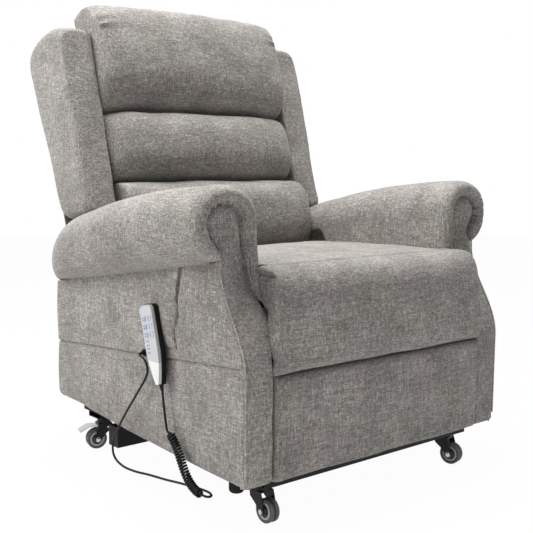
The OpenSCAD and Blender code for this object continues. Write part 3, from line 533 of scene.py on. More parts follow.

# %% [markdown]
# ## The handset's cord
# One cord runs from the handset through a curly part to a gland in the side seam. Its axis is a list
# of points: given ones for the plain parts, and a helix round a Bezier curve for the curls. The
# curls open to their full size in the first turn and close in the last. One tube follows all of it.

# %% Route of the cord
CORD_R, CURL_R, CURLS, CURL_X = 2.5, 9.6, 25, -402.0
LEAD_ROUTE = [(-401.3, -184.4, 246.2), (-401.5, -186.5, 238), (-402, -189, 226), (-402, -192, 210),
              (-402, -195, 194), (-402, -198, 180), (-402, -200.3, 169.5), (-402, -203, 165.6)]
CURL_AXIS = np.array([(-206, 164), (-257, 142), (-252, 65), (-325, 64.5)], float)
PLAIN_ROUTE = [
    (-392.7, -95, 309), (-399, -96, 308), (-402, -101, 306), (-402, -111, 304), (-402, -121, 299),
    (-402, -129, 289), (-402, -131, 276), (-402, -124, 262), (-402, -114, 249), (-402, -100, 233),
    (-402, -86, 217), (-402, -66, 194), (-402, -45, 170), (-402, -26, 146), (-402, -9, 123), (-402, 4, 104),
    (-402, 11, 86), (-402, 11, 69), (-402, 4, 58), (-401, -8, 50), (-399, -28, 44), (-396, -52, 42),
    (-393, -80, 43), (-390, -110, 46), (-387, -142, 48), (-384, -174, 50), (-381, -206, 53),
    (-379, -238, 56), (-378, -270, 59), (-378, -298, 61), (-380, -318, 62), (-386, -332, 62),
    (-394, -337, 63), (-401, -335, 64), (-402, -328, 64.4)]

# %% Helpers for the cord
def bezier(t):
    """The curls' axis (y, z) at t from 0 to 1: four control points weighted by Bernstein's cubics."""
    weights = vec((1 - t) ** 3, 3 * t * (1 - t) ** 2, 3 * t * t * (1 - t), t ** 3)
    return weights @ CURL_AXIS


def lengths(points):
    """Distance along a line of points, from its start to each point."""
    return np.concatenate([[0], np.cumsum(np.linalg.norm(np.diff(points, axis=0), axis=1))])


def catmull_rom(p0, p1, p2, p3, f):
    """The spline between p1 and p2 at f from 0 to 1, with its neighbours p0 and p3: a cubic in f."""
    return 0.5 * (2 * p1 + (p2 - p0) * f + (2 * p0 - 5 * p1 + 4 * p2 - p3) * f ** 2
                  + (3 * p1 - p0 - 3 * p2 + p3) * f ** 3)


def curl_points(per_turn=16):
    """The helix: at distance s along the axis, a point at radius m and angle a round it."""
    t = np.linspace(0, 1, 400)
    run = lengths(bezier(t))
    length = run[-1]
    lead = 2 * CORD_R / length
    u = np.linspace(0, 1, CURLS * per_turn + 1)
    s = np.concatenate([[0], lead + (1 - 2 * lead) * u, [1]])
    u = np.concatenate([[0], u, [1]])

    def axis(share):
        return bezier(np.interp(np.clip(share, 0, 1) * length, run, t))

    c = axis(s)
    d = axis(s + 0.01) - axis(s - 0.01)
    d /= np.linalg.norm(d, axis=1, keepdims=True)
    m = (CURL_R - CORD_R) * np.clip(np.minimum(u, 1 - u) * CURLS, 0, 1)
    a = 2 * np.pi * CURLS * u
    up = m * np.cos(a)
    return vec(CURL_X + m * np.sin(a), c[:, 0] - d[:, 1] * up, c[:, 1] + d[:, 0] * up)


def dense(route, step):
    """Points at even steps on a Catmull-Rom spline through the route."""
    route = np.asarray(route, float)
    p = np.concatenate([2 * route[:1] - route[1:2], route, 2 * route[-1:] - route[-2:-1]])
    f = np.linspace(0, 1, 9)[:-1, None]
    fine = [catmull_rom(*p[k - 1:k + 3], f) for k in range(1, len(p) - 2)]
    fine = np.concatenate([*fine, p[-2:-1]])
    run = lengths(fine)
    at = np.linspace(0, run[-1], max(2, int(run[-1] / step)))
    return vec(*(np.interp(at, run, fine[:, k]) for k in range(3)))

# %% Cord
cord_path = np.concatenate([dense(LEAD_ROUTE, 5), curl_points(), dense(PLAIN_ROUTE[::-1], 6)])
cord = tube("handset_cord", cord_path, CORD_R, cord_rubber, "seat", sides=12)
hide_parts("handset_lead", "curly_cord", "plain_cord")

# %% [markdown]
# ## Castors and handset keys
# A castor has two wheels on one axle: grey tyres, dark hubs with a pale ring, and a bright nut outside
# each fork leg. A wheel is a profile turned round its axle, and every band of the profile has its own
# finish. The handset's keys carry small blue marks, thin triangles that point up or down.

# %% Castor wheels
CASTORS = {"fl": (-287, -367, 0.0), "fr": (287, -367, 13.5),            # x, y, turn in degrees
           "rl": (-287, 244, -105.5), "rr": (287, 244, 70.0)}
TRAIL, WHEEL_R = 20.0, 25.0
TYRE, HUB, RING = 0, 1, 2           # finishes of a wheel, in the order of its material slots
HUB_R, RING_R, RING_FROM = 13.4, 18.2, 6.0
FORK_OUT = 17.5       # outside of the fork legs, from the castor's middle


def at_castor(points, castor):
    """Points in a castor's own frame, whose wheel trails towards -Y, brought to their place."""
    x, y, turn = CASTORS[castor]
    c, s = math.cos(math.radians(turn)), math.sin(math.radians(turn))
    px, py, pz = np.moveaxis(np.asarray(points, float), -1, 0)
    return vec(x + c * px - s * py, y + s * px + c * py, pz)


def turned(profile, steps):
    """A profile of (radius, along the axle) carried round the axle, in the castor's own frame."""
    r, along = np.asarray(profile, float).T
    a = 2 * np.pi * np.arange(steps)[:, None] / steps
    return vec(along, -TRAIL + r * np.cos(a), WHEEL_R + r * np.sin(a))


def wheel(castor):
    """The wheel's half profile, mirrored along the axle and closed through the bore. Each face takes
    its finish from its distance to the axle, and the ring lies only on the wheel's sides."""
    a = np.radians(np.linspace(0, 90, 6))
    tyre_out = [(22 + 3 * math.sin(t), 8.5 + 3 * math.cos(t)) for t in a]
    tyre_in = [(22 + 3 * math.cos(t), 4.5 - 3 * math.sin(t)) for t in a]
    half = [(4.05, 14.6), (8.4, 14.6), (9, 14), (9, 8.8), (9.6, 8.4), (12.6, 8.4), (13.2, 9.2),
            (13.8, 10.6), (14.4, 10.9), (17.4, 10.9), (18, 10.3), (18.6, 10.9), (19.4, 11.4),
            *tyre_out, *tyre_in, (12, 1.5)]
    rings = at_castor(turned(half + [(r, -x) for r, x in reversed(half)], 64), castor)
    m, n = rings.shape[:2]
    i, j = np.meshgrid(np.arange(m), np.arange(n), indexing="ij")
    a, b = i * n + j, i * n + (j + 1) % n
    c, d = (i + 1) % m * n + (j + 1) % n, (i + 1) % m * n + j
    piece = make_mesh("wheel_" + castor, rings.reshape(-1, 3), vec(a, b, c, d).reshape(-1, 4),
                      tread_rubber, "wheel_" + castor)
    piece.data.materials.append(hub_plastic)
    piece.data.materials.append(hub_ring)
    hub = at_castor([[0.0, -TRAIL, WHEEL_R]], castor)[0] * MM
    from_hub = (np.array([p.center for p in piece.data.polygons]) - hub) / MM
    turn = math.radians(CASTORS[castor][2])
    along = from_hub @ np.array([math.cos(turn), math.sin(turn), 0.0])
    radius = np.sqrt(np.maximum((from_hub ** 2).sum(1) - along ** 2, 0))
    on_ring = (radius < RING_R) & (np.abs(along) > RING_FROM)
    slots = np.where(radius < HUB_R, HUB, np.where(on_ring, RING, TYRE))
    piece.data.polygons.foreach_set("material_index", slots.astype(np.int32))
    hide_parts("castor_wheel_" + castor)
    return piece


def axle_nuts(castor):
    """A domed nut outside each fork leg: its profile runs from the leg out to the middle of the dome."""
    a = np.radians(np.linspace(0, 90, 6))[:-1]
    x = FORK_OUT
    dome = [(6.2, x + 0.05), (6.2, x + 2.2), *((5.6 * math.cos(t), x + 2.2 + 1.9 * math.sin(t)) for t in a),
            (0.05, x + 4.1)]
    for side, name in ((-1, "in"), (1, "out")):
        profile = [(r, side * x) for r, x in dome]
        rings = np.moveaxis(at_castor(turned(profile, 24), castor), 0, 1)
        nut = loft("axle_nut_" + castor + "_" + name, rings, axle_plate, "castor_" + castor, cap=1)


for castor in CASTORS:
    print(wheel(castor).name)
    axle_nuts(castor)

# %% Marks on the handset
HANDSET_AT, HANDSET_TILT = np.array([-392.8, -181.0, 258.0]), math.radians(16)
KEY_FACE, COVER_FACE = -19.5, -18.3
PRISM = ((0, 1, 2), (5, 4, 3), (0, 3, 4, 1), (1, 4, 5, 2), (2, 5, 3, 0))    # corners of its faces


def on_handset(points):
    """Points in the handset's own frame: outwards along -X, across along Y and up along the handset."""
    x, y, z = np.moveaxis(np.asarray(points, float), -1, 0)
    c, s = math.cos(HANDSET_TILT), math.sin(HANDSET_TILT)
    return HANDSET_AT + vec(x, y * c + z * s, -y * s + z * c)


def marks(name, body, face, places):
    """Thin triangular prisms: one for each (across, up, points up or down)."""
    points, faces = [], []
    for y, z, way in places:
        n = len(points)
        flat = [(y - 2.1, z - way * 1.7), (y + 2.1, z - way * 1.7), (y, z + way * 1.9)]
        points += [(face - 0.35, *p) for p in flat] + [(face + 0.3, *p) for p in flat]
        faces += [[n + k for k in f] for f in PRISM]
    piece = make_mesh(name, on_handset(points), faces, mark_blue, body, smooth=False)


TOP_ROW, ROW_STEP = 168 * 0.83, 17      # height of the first row of keys up the handset, and between rows
for row, function in enumerate(("back", "leg", "lift")):
    up = TOP_ROW - ROW_STEP * row
    for column, y in (("up", -10), ("down", 10)):
        key = function + "_" + column
        pairs = (y + 3, y - 3) if y > 0 else (y + 3,)
        marks("marks_" + key, "key_" + key, KEY_FACE,
              [place for across in pairs for place in ((across, up + 2.6, 1), (across, up - 2.6, -1))])
marks("marks_cover", "seat", COVER_FACE,
      [(y, 92 - 7.6 * k, 1 if k % 2 else -1) for y in (7, 13) for k in range(4)])
print("marks on the keys and the cover")

# %% [markdown]
# ## The main sizes
# These repeat the chair's driving dimensions: where the arms stand, how the front edge of an arm
# sweeps back in an S, and how the back leans. The covers below are all worked out from them.

# %% Main sizes and shared curves
SEAT_HALF, SEAT_TOP, SEAT_UNDER, SEAT_REAR = 281.0, 515.0, 385.0, 68.0
FRONT_Y, ROLL_R = -445.0, 80.0
HINGE_Y, HINGE_Z = FRONT_Y + ROLL_R, SEAT_TOP - ROLL_R
ARM_IN, ARM_OUT, ARM_MID = 314.5, 384.5, 362.0
ARM_TOP, ROLL_HALF = 672.0, 78.0
ARM_FACE_Y = -358.0
REAR_Y = 297.0
LEG_SEAM, LEG_LOW, LEG_PAD = 308.0, 100.0, 46.0
LEG_HALF = 311.0
BACK_LEAN, BACK_Y, BACK_Z = math.radians(17), 210.0, 540.0
WING_IN, WING_T = SEAT_HALF + 9, 82.0
BACK_LEN, BACK_DEPTH = 500.0, 66.0


def arm_front_y(z):
    """The arm's front edge: upright below, then an S sweeping 78 mm back towards the roll."""
    t = np.clip((z - 310) / 210, 0, 1)
    return FRONT_Y + 9 + 78 * (1 - np.cos(np.pi * t)) / 2


def rim_y(z):
    """How far forward the gathered rim reaches at each height."""
    return np.interp(z, [300, 385, 400, 416, 438, 474, 503, 534, 583, 700],
                     [-430, -420, -413, -402, -388, -373, -365, -361, -358, -356])


def arm_top(y):
    """The top of the arm roll, which falls in a slight curve to the rear."""
    d = np.maximum(0, y + 340)
    return ARM_TOP - 0.037 * d - 0.000246 * d * d


def arm_under(y):
    """The seam under the roll, falling to the rear."""
    return 525.5 - 0.16 * (y - ARM_FACE_Y)


def side_hem(y):
    """The lower edge of the side panels: low in front, with a lift and a gentle wave to the rear."""
    return np.interp(y, [-446, -430, -283, -206, -82, 27, 147, 184, 223, 260, REAR_Y],
                     [99, 99, 104, 108, 114, 123, 133, 138, 139, 140, 142])


def from_back(x, out, up):
    """A point given across, out of the back's front (towards the sitter) and up the back, in chair axes."""
    c, s = math.cos(BACK_LEAN), math.sin(BACK_LEAN)
    return vec(x, BACK_Y - out * c + up * s, BACK_Z + out * s + up * c)


print("top of the back in mm:", from_back(0.0, 0.0, BACK_LEN).round())

# %% [markdown]
# ## Back pillows
# Three pillows lie one above the other on the back: a low lumbar one, a middle one and a tall head
# pillow whose top rolls over to the rear. Each is a superellipse in side view, whose size falls off
# towards its sewn ends, so the corners are round and the sides draw in.

# %% Back pillows
def pillow(name, half, low, height, thick, node, corner, seed, droop=0.0, fall=0.0, gathers=(), ends=0.12):
    """A pillow on the back. Across u it keeps its size until it falls off as (1 - |u|^corner)^(1/corner).
    In side view the front is a superellipse and the rear is flat. Gathers are short folds that start at
    an end: (side, height up the back, length, depth). Each is a groove with a ridge above it, both bell
    curves, which fade out exponentially away from the end."""
    u = ends_close(72)[:, None]
    full = np.maximum(1 - np.abs(u) ** corner, 0) ** (1 / corner)
    full = ends + (1 - ends) * full
    a = np.linspace(0, np.pi, 49)[None, :]
    c, s = power(np.cos(a), 0.72), np.sin(a) ** 0.6
    crown = 1 - 0.10 * u ** 2
    z_size = height * (0.80 + 0.20 * full)
    middle = low + height / 2 - 0.5 * droop * u ** 2
    up = middle + z_size / 2 * c - np.where(c > 0, fall * c * (1 - s) ** 1.2, 0)
    out = 1 + thick * full * crown * s
    for side, at, length, depth in gathers:
        from_end = half * (1 - side * u)
        fade = np.exp(-np.maximum(from_end - 8, 0) / length) * smooth(2, 14, from_end) * (s > 0.05)
        line = at + 0.12 * (from_end - 30) * (1 if at < low + height * 0.8 else 3)
        out = out - depth * fade * np.exp(-((up - line) / 5.0) ** 2)
        out = out + 0.6 * depth * fade * np.exp(-((up - line - 9) / 6.0) ** 2)
    front = from_back(half * u, out, up)
    rear_up = np.linspace(0, 1, 12)[None, 1:-1]
    rear = from_back(half * u * 0.985, 1.0, up[:, -1:] + (up[:, :1] - up[:, -1:]) * rear_up)
    rings = soften(np.concatenate([front, rear], 1), 1.6, 90, seed, closed=True)
    return cover(loft(name, rings, tweed_seat, "back", cap=2), node)


HEAD_GATHERS = [(side, up, length, depth) for side in (-1, 1)
                for up, length, depth in ((505, 40, 5.5), (482, 52, 6.5), (462, 32, 4.5),
                                          (395, 24, 2.4), (350, 22, 2.2), (430, 24, 2.6))]
lumbar = pillow("lumbar_pillow_cover", SEAT_HALF - 0.5, low=-76, height=188, thick=126, node="lumbar_pillow",
                corner=16, seed=3, ends=0.8)
middle = pillow("mid_pillow_cover", WING_IN - 3, low=112, height=180, thick=112, node="mid_pillow",
                corner=6.0, seed=4)
head = pillow("head_pillow_cover", WING_IN - 3, low=292, height=286, thick=118, node="head_pillow",
              corner=12.0, seed=5, droop=12, fall=26, gathers=HEAD_GATHERS, ends=0.25)


def back_lining():
    """The cloth that is stretched over the slats behind the pillows."""
    x, up = np.linspace(-WING_IN + 1, WING_IN - 1, 30)[None, :], np.linspace(-78, 480, 30)[:, None]
    piece = pad("back_lining", from_back(x, 0.8, up), from_back(x, 0.1, up), tweed_rear, "back")
    return piece


print("pillows:", [len(p.data.vertices) for p in (lumbar, middle, head)], back_lining().name)

# %% [markdown]
# ## Wings
# A wing is a thick board padded all round, which joins the back's side. Its outline in side view is a
# tall rounded slab. Rows of that outline are lofted across the wing's thickness, and they shrink near
# both faces, which rounds the edges over.

# %% Wings
WING_OUTLINE = np.array([       # out of the back, up the back
    (64, 36), (66, 90), (72, 200), (80, 320), (84, 420), (78, 462), (60, 486), (28, 502), (-16, 506),
    (-62, 501), (-98, 486), (-113, 458), (-110, 410), (-105, 332), (-97, 270), (-89, 206), (-80, 130),
    (-72, 84), (-62, 56), (-30, 42), (20, 36)], float)
ROUND_IN, ROUND_OUT = 0.22, 0.34            # shares of the thickness over which the faces round over
WING_MIDDLE = np.array([-22.0, 270.0])
ROUNDING = np.array([1.0, 0.35])            # the edges are rounded over less along the wing's height


def closed_curve(outline, count):
    """`count` points along a closed outline, smoothed by a Catmull-Rom spline."""
    t = np.arange(count) * len(outline) / count
    i = t.astype(int)
    return catmull_rom(*(outline[(i + k) % len(outline)] for k in (-1, 0, 1, 2)), (t - i)[:, None])


def wing(side):
    """Rings of the outline from the inner face to the outer face. Each face is rounded over as a
    quarter circle, and the wing is a little fuller at the middle of its thickness."""
    outline = closed_curve(WING_OUTLINE, 120)
    away = outline - WING_MIDDLE
    size = np.linalg.norm(away * ROUNDING, axis=1, keepdims=True)
    rows = []
    for s in (1 - np.cos(np.pi * np.linspace(0, 1, 25))) / 2:
        edge_in = np.sqrt(max(0.0, 1 - max(0.0, 1 - s / ROUND_IN) ** 2))
        edge_out = np.sqrt(max(0.0, 1 - max(0.0, 1 - (1 - s) / ROUND_OUT) ** 2))
        inset = 13 * (1 - edge_in) + 24 * (1 - edge_out)
        q = WING_MIDDLE + away * (1 - inset / np.maximum(size, 30) * ROUNDING)
        puff = 5 * np.sin(np.pi * s) * (q[:, 0] > 0)
        rows.append(from_back(WING_IN + WING_T * s, np.minimum(q[:, 0], BACK_DEPTH) + puff, q[:, 1]))
    rows = on_side(side, soften(np.array(rows), 1.4, 120, 11 + side, closed=True))
    return cover(loft("wing_cover_" + SIDES[side], rows, tweed_seat, "back", cap=8),
                 "wing_" + SIDES[side])


for side in SIDES:
    print(wing(side).name)

# %% [markdown]
# ## Seat and legrest
# The seat cushion ends in a hollow at the front. The cover of the legrest starts there with a half
# round roll, which turns in that hollow about the legrest's hinge, and then hangs down as a flat pad.
# Seen from the front the two read as one cloth. A second, flat pad closes the chair below the seam.

# %% Seat cushion
def seat_rings():
    """Side views of the cushion at stations across: hollow in front, crowned top, round rear edge. The
    front is an arc round the legrest's hinge, the top a sine over a slow fall to the rear."""
    x = ends_close(60, SEAT_HALF)
    lip, rear_y, rear_r = HINGE_Y - 12, SEAT_REAR - 34, 34
    hollow_r = ROLL_R + 0.4
    a, b = np.radians(np.linspace(-38, 99, 24)), np.radians(np.linspace(86, -4, 9))
    t = np.linspace(0.0, 0.97, 34)
    front = vec(HINGE_Y + hollow_r * np.cos(a), HINGE_Z + hollow_r * np.sin(a))
    rings = []
    for u in x / SEAT_HALF:
        full = 0.35 + 0.65 * math.sqrt(max(0, 1 - abs(u) ** 4))
        drop = 9 * (1 - full) + 14 * smooth(0.93, 1.0, abs(u))
        pull = 5 * full
        top_z = (SEAT_TOP + 0.3 + smooth(0, 0.06, t) - 9 * t ** 1.3 - drop * smooth(0, 0.12, t)
                 + 4.5 * full * np.sin(np.pi * t))
        top = vec(lip + t * (rear_y - lip), top_z)
        back = vec(rear_y + rear_r * np.cos(b) - pull, SEAT_TOP - 42 - drop + rear_r * np.sin(b))
        low = np.array([[SEAT_REAR - pull, SEAT_UNDER + 20], [SEAT_REAR - pull - 6, SEAT_UNDER],
                        [-60, SEAT_UNDER], [-200, SEAT_UNDER]])
        rings.append(np.concatenate([front, top, back, low]))
    rings = np.array(rings)
    return vec(x[:, None], rings[..., 0], rings[..., 1])


rings = seat_rings()
steady = smooth(26, 36, np.arange(rings.shape[1]))[None, :]      # the hollow and the lip keep their line
seat = cover(loft("seat_cushion_cover", soften(rings, 1.2 * steady, 110, 21, closed=True), tweed_seat, "seat",
                  cap=3), "seat_cushion")
print("seat cushion:", len(seat.data.vertices), "points")

# %% Legrest covers
EDGE_R = 9.0        # how far the covers' sewn edges are rounded over


def rounded_edge(distance, radius):
    """How far a surface falls back at `distance` mm from its edge: a quarter circle."""
    t = np.clip(1 - distance / radius, 0, 1)
    return radius * (1 - np.sqrt(1 - t * t))


def chaise_grids():
    """The upper pad: rows follow the roll from 74 degrees over the top to the front and then straight
    down; columns go across. The front is crowned, its edges are rounded, and the rear is one pad lower."""
    a = np.radians(np.linspace(74, 180, 30))
    down = np.linspace(HINGE_Z, LEG_SEAM + 1.5, 34)[1:]
    y = np.concatenate([HINGE_Y + ROLL_R * np.cos(a), np.full(len(down), FRONT_Y)])
    z = np.concatenate([HINGE_Z + ROLL_R * np.sin(a), down])
    out_y = np.concatenate([np.cos(a), np.full(len(down), -1.0)])
    out_z = np.concatenate([np.sin(a), np.zeros(len(down))])
    turned = np.append(a, np.full(len(down), np.pi))
    angle = np.degrees(turned)
    roll_half = np.interp(angle, [95, 100, 106, 114, 122, 128, 130, 134, 136, 178],
                          [281, 283, 289, 297, 302, 304, 299, 299, 304, 305])
    drape_half = np.interp(z, [309, 345, 372, 391, 410, 438], [316, 317, 317, 311, 308, 306])
    half = np.where(angle < 180, roll_half, drape_half)
    run = lengths(vec(y, z))
    belly = 5 * np.sin(np.pi * np.clip((run - 145) / (run[-1] - 145), 0, 1)) - rounded_edge(run[-1] - run, 14)
    u = ends_close(64)
    x = u[None, :] * half[:, None]
    edge = half[:, None] - np.abs(x)
    fall = 3.0 * u[None, :] ** 4 + rounded_edge(edge, EDGE_R)
    squarer = np.where(angle > 90, 1.0, 0)[:, None] * np.sin(np.radians(2 * angle[:, None] - 180)) ** 2
    lift = belly[:, None] - fall * smooth(60, 110, run)[:, None] + squarer * (4.0 + 6.0 * u[None, :] ** 6)
    outer = vec(x, y[:, None] + out_y[:, None] * lift, z[:, None] + out_z[:, None] * lift)
    core = np.concatenate([np.full(len(a), 6.0), np.interp(down, [309, 420, 435], [34, 28, 8])])
    deep_y = HINGE_Y + np.where(z > HINGE_Z - 0.1, core * np.cos(turned), -core)
    deep_z = np.concatenate([HINGE_Z + 6 * np.sin(a), down])
    beside = smooth(SEAT_HALF + 0.2, SEAT_HALF + 2, np.abs(x))
    wall_y = np.where(z < 440, np.minimum(arm_front_y(z) + 0.5, -404.0), rim_y(z) - 4)[:, None]
    wall_y = np.maximum(wall_y, y[:, None] + 4 + EDGE_R)
    inner_x = np.clip(x, -half[:, None] + 2, half[:, None] - 2)
    inner_y = deep_y[:, None] + (wall_y - deep_y[:, None]) * beside
    inner_z = deep_z[:, None] + (outer[..., 2] - deep_z[:, None]) * beside
    return outer, vec(inner_x, inner_y, inner_z)


outer, inner = chaise_grids()
steady = smooth(8, 16, np.arange(outer.shape[0]))[:, None]       # under the seat's lip it keeps its line
chaise = cover(pad("legrest_upper_cover", soften(outer, 1.3 * steady, 120, 22), inner, tweed_seat, "legrest"),
               "chaise_pad")


def lower_pad_grids():
    """The lower pad: a flat cover with rounded edges, gently crowned between them."""
    u, v = ends_close(64)[None, :], ends_close(30)[:, None]
    top, half = LEG_SEAM - 1.5, LEG_HALF
    x = u * half
    z = (top + LEG_LOW) / 2 + v * (top - LEG_LOW) / 2
    back = rounded_edge(half - np.abs(x), 14) + rounded_edge(top - z, 12) + rounded_edge(z - LEG_LOW, 10)
    y = FRONT_Y + 1 - 3 * (1 - u ** 4) * (1 - v ** 4) + np.minimum(back, 22)
    return vec(x, y, z), vec(x * 0.99, FRONT_Y + LEG_PAD, z)


outer, inner = lower_pad_grids()
lower = cover(pad("legrest_lower_cover", soften(outer, 1.2, 110, 23), inner, tweed_seat, "legrest"),
              "legrest_pad")
print("legrest covers:", [len(p.data.vertices) for p in (chaise, lower)])

# %% [markdown]
# ## Arms
# An arm is wrapped in one cloth: it starts at the seam under the roll outside, goes over the roll and
# down inside to the seat. In front that cloth turns round the edge, is gathered in pleats and meets
# the padded arched face in a deep seam. The face goes on down to the floor edge as a narrow strip.

# %% Outlines of an arm
RIM_DEPTH = 34.0
PLEATS = ((-34, 5.0), (-8, 3.5), (14, 4.5), (36, 6.0), (60, 5.0), (86, 6.5), (114, 3.0))   # angle, depth
ROLL_POINTS, INNER_POINTS, HIDDEN_POINTS = 170, 46, 26
TURN_Y, INNER_LOW, RIM_LOW = -300.0, 452.0, 404.0       # where the rim starts, and the wrap's lower edges
RIM_ROWS, TURN_ROWS, RIM_TURN = 12, 23, 168             # the rim turns inwards by this many degrees
HIDDEN_Y = -318.0       # the hidden side of the wrap ends here, behind the face
FACE_MID = np.array([363.0, 590.0])
ARCH = np.array([  # the seam between rim and face, as angle and distance from the face's middle
    (-73, 56), (-69, 46), (-49, 38.5), (-23, 39), (3, 43), (20, 46), (36, 47), (53, 46.5), (76, 45.5),
    (102, 45), (128, 44), (154, 41.5), (180, 41.5), (188, 42.4)], float)
ARCH_FROM, ARCH_TO = ARCH[0, 0], ARCH[-1, 0]


def face_inner_x(z):
    """Inner edge of the front strip, which widens inwards below the end of the rim."""
    return np.interp(z, [100, 345, 365, 391, 409, 426, 449, 477, 506, 532, 561, 584, 604],
                     [313.5, 313.5, 301, 290, 286.5, 290, 302, 312, 316.5, 318, 319, 321, 324])


def face_angle(x, z, start):
    """Direction of a point from the face's middle in degrees, counted from `start` all the way round."""
    angle = np.degrees(np.arctan2(z - FACE_MID[1], x - FACE_MID[0]))
    return np.where(angle < start, angle + 360, angle)


def arch_point(angle):
    """The seam round the face at an angle in degrees."""
    r = np.interp(angle, ARCH[:, 0], ARCH[:, 1])
    a = np.radians(angle)
    return FACE_MID + vec(r * np.cos(a), r * np.sin(a))


def wrap_outline(y, low):
    """Outline of the wrap across the arm at y, from the outer seam over the roll and down inside to
    `low`. The roll is a superellipse, the inner side is nearly flat. The rest is hidden."""
    a = np.linspace(math.radians(-74), math.pi, ROLL_POINTS)
    rear = math.sqrt(max(0.02, 1 - max(0.0, (y - 150) / 154) ** 2.5))
    half = ROLL_HALF * rear * (1 - 0.17 * max(0.0, (y + 50) / 350) ** 2)
    zb, zt = arm_under(y), arm_top(y)
    h = (zt - zb) / 2 * rear
    roll = vec(ARM_MID + half * power(np.cos(a), 0.88), zb + h * (1 + power(np.sin(a), 0.88)))
    inside = max(0.0, 1 - max(0.0, (y - 20) / 50))
    reach = zb + h
    bottom = reach - (reach - low) * inside
    z = np.linspace(reach, bottom, INNER_POINTS + 1)[1:]
    inner = vec(roll[-1, 0], z)
    back_z = np.linspace(bottom, zb + 0.5, HIDDEN_POINTS // 2)
    hidden = vec(ARM_IN - 1.0, back_z)
    floor_x = np.linspace(ARM_IN, roll[0, 0], HIDDEN_POINTS - len(back_z) + 1)[:-1]
    under = vec(floor_x, zb - 0.3)
    return np.concatenate([roll, inner, hidden, under])


def seam_outline(last):
    """The deep seam in front, point for point with the last outline: in the same direction from the
    face's middle round the roll, at the same height down the inner edge."""
    arch = arch_point(face_angle(last[:ROLL_POINTS, 0], last[:ROLL_POINTS, 1], -120))
    z = last[ROLL_POINTS:ROLL_POINTS + INNER_POINTS, 1]
    inner = vec(face_inner_x(z), z)
    rest = last[ROLL_POINTS + INNER_POINTS:].copy()
    rest[:, 0] = np.maximum(rest[:, 0], face_inner_x(rest[:, 1]) + 1)
    return np.concatenate([arch, inner, rest])

# %% Arm wrap
def pleats(last):
    """Depth of the gathers round the rim: narrow bell curves with a low, wide swelling beside each."""
    angle = face_angle(last[:, 0], last[:, 1], -180)
    fold = np.zeros(len(last))
    for at, depth in PLEATS:
        fold += depth * np.exp(-((angle - at) / 2.2) ** 2)
        fold -= 0.25 * depth * np.exp(-((angle - at - 8) / 6.0) ** 2)
    fold[ROLL_POINTS:] = 0
    return fold


def arm_wrap(side):
    """Rows go from the rear to the front. The last rows turn round the front edge: from the outline
    to the seam by 1 - cos, while y runs forward by 1 - sin and then dips back into the seam."""
    rows = []
    for y in [*np.linspace(303, 250, 14), *np.linspace(240, TURN_Y, 44)]:
        outline = wrap_outline(y, INNER_LOW)
        rows.append(vec(outline[:, 0], y, outline[:, 1]))
    for t in np.linspace(0.12, 1, RIM_ROWS):
        low = INNER_LOW - (INNER_LOW - RIM_LOW) * smooth(0.75, 1.0, t)
        outline = wrap_outline(TURN_Y - RIM_DEPTH * t, low)
        y = TURN_Y * (1 - t) + (rim_y(outline[:, 1]) + RIM_DEPTH) * t
        rows.append(vec(outline[:, 0], y, outline[:, 1]))
    last = rows[-1][:, [0, 2]]
    seam = seam_outline(last)
    turn = math.radians(RIM_TURN)
    for q in np.linspace(0, turn, TURN_ROWS + 1)[1:]:
        share = (1 - math.cos(q)) / (1 - math.cos(turn))
        xz = last + (seam - last) * share
        rows.append(vec(xz[:, 0], rim_y(xz[:, 1]) + RIM_DEPTH * (1 - math.sin(q)), xz[:, 1]))
    rows = np.array(rows)
    strength = np.zeros(len(rows))
    strength[-TURN_ROWS:] = np.interp(np.linspace(7, RIM_TURN, TURN_ROWS), [0, 60, 100, 135, RIM_TURN],
                                      [0.02, 0.1, 0.9, 1.6, 1.0])
    strength[-TURN_ROWS - RIM_ROWS:-TURN_ROWS] = np.linspace(0.0, 1.0, RIM_ROWS) ** 1.5 * 0.04
    away = last - FACE_MID
    away /= np.linalg.norm(away, axis=1, keepdims=True)
    depth = strength[:, None] * pleats(last)[None, :]
    rows -= depth[..., None] * vec(away[:, 0], -0.7, away[:, 1])
    behind = rows[-1:] + np.array([0, RIM_DEPTH, 0])
    rows = np.concatenate([rows, behind])
    visible = ROLL_POINTS + INNER_POINTS
    rows[:, visible:, 1] = np.maximum(rows[:, visible:, 1], HIDDEN_Y)
    rows[:, :visible] = soften(rows[:, :visible], 1.2, 120, 31 + side)
    return cover(loft("arm_wrap_" + SIDES[side], on_side(side, rows), tweed_seat, "seat", cap=2),
                 "arm_roll_" + SIDES[side])


print("an arm's rim:", RIM_ROWS + TURN_ROWS, "rows,", len(PLEATS), "pleats")

# %% Arm face, from the arch to the floor edge
FACE_GROWS = 1.14                   # the face goes on behind the rim
MID_Z, SEAM_STEP = FACE_MID[1], 2.0
ARCH_STARTS, ARCH_FULL = 522, 548   # heights between which the strip passes into the arch


def face_edges(z):
    """Inner and outer edge of the face at height z: the strip below, the arch above."""
    angles = np.linspace(ARCH_FROM, ARCH_TO, 400)
    arch = FACE_MID + (arch_point(angles) - FACE_MID) * FACE_GROWS
    outer_side = arch[(angles <= 88) & (arch[:, 1] > 530)]
    inner_side = arch[(angles >= 88) & (angles <= 180)][::-1]
    x0 = np.where(z > MID_Z, np.interp(z, inner_side[:, 1], inner_side[:, 0]), face_inner_x(z))
    x0 = x0 - 6 * smooth(400, 430, z) * (z <= MID_Z)
    x1 = np.interp(z, [100, 524, *outer_side[:, 1]], [ARM_OUT - 1.5, ARM_OUT - 1.5, *outer_side[:, 0]])
    return x0, x1


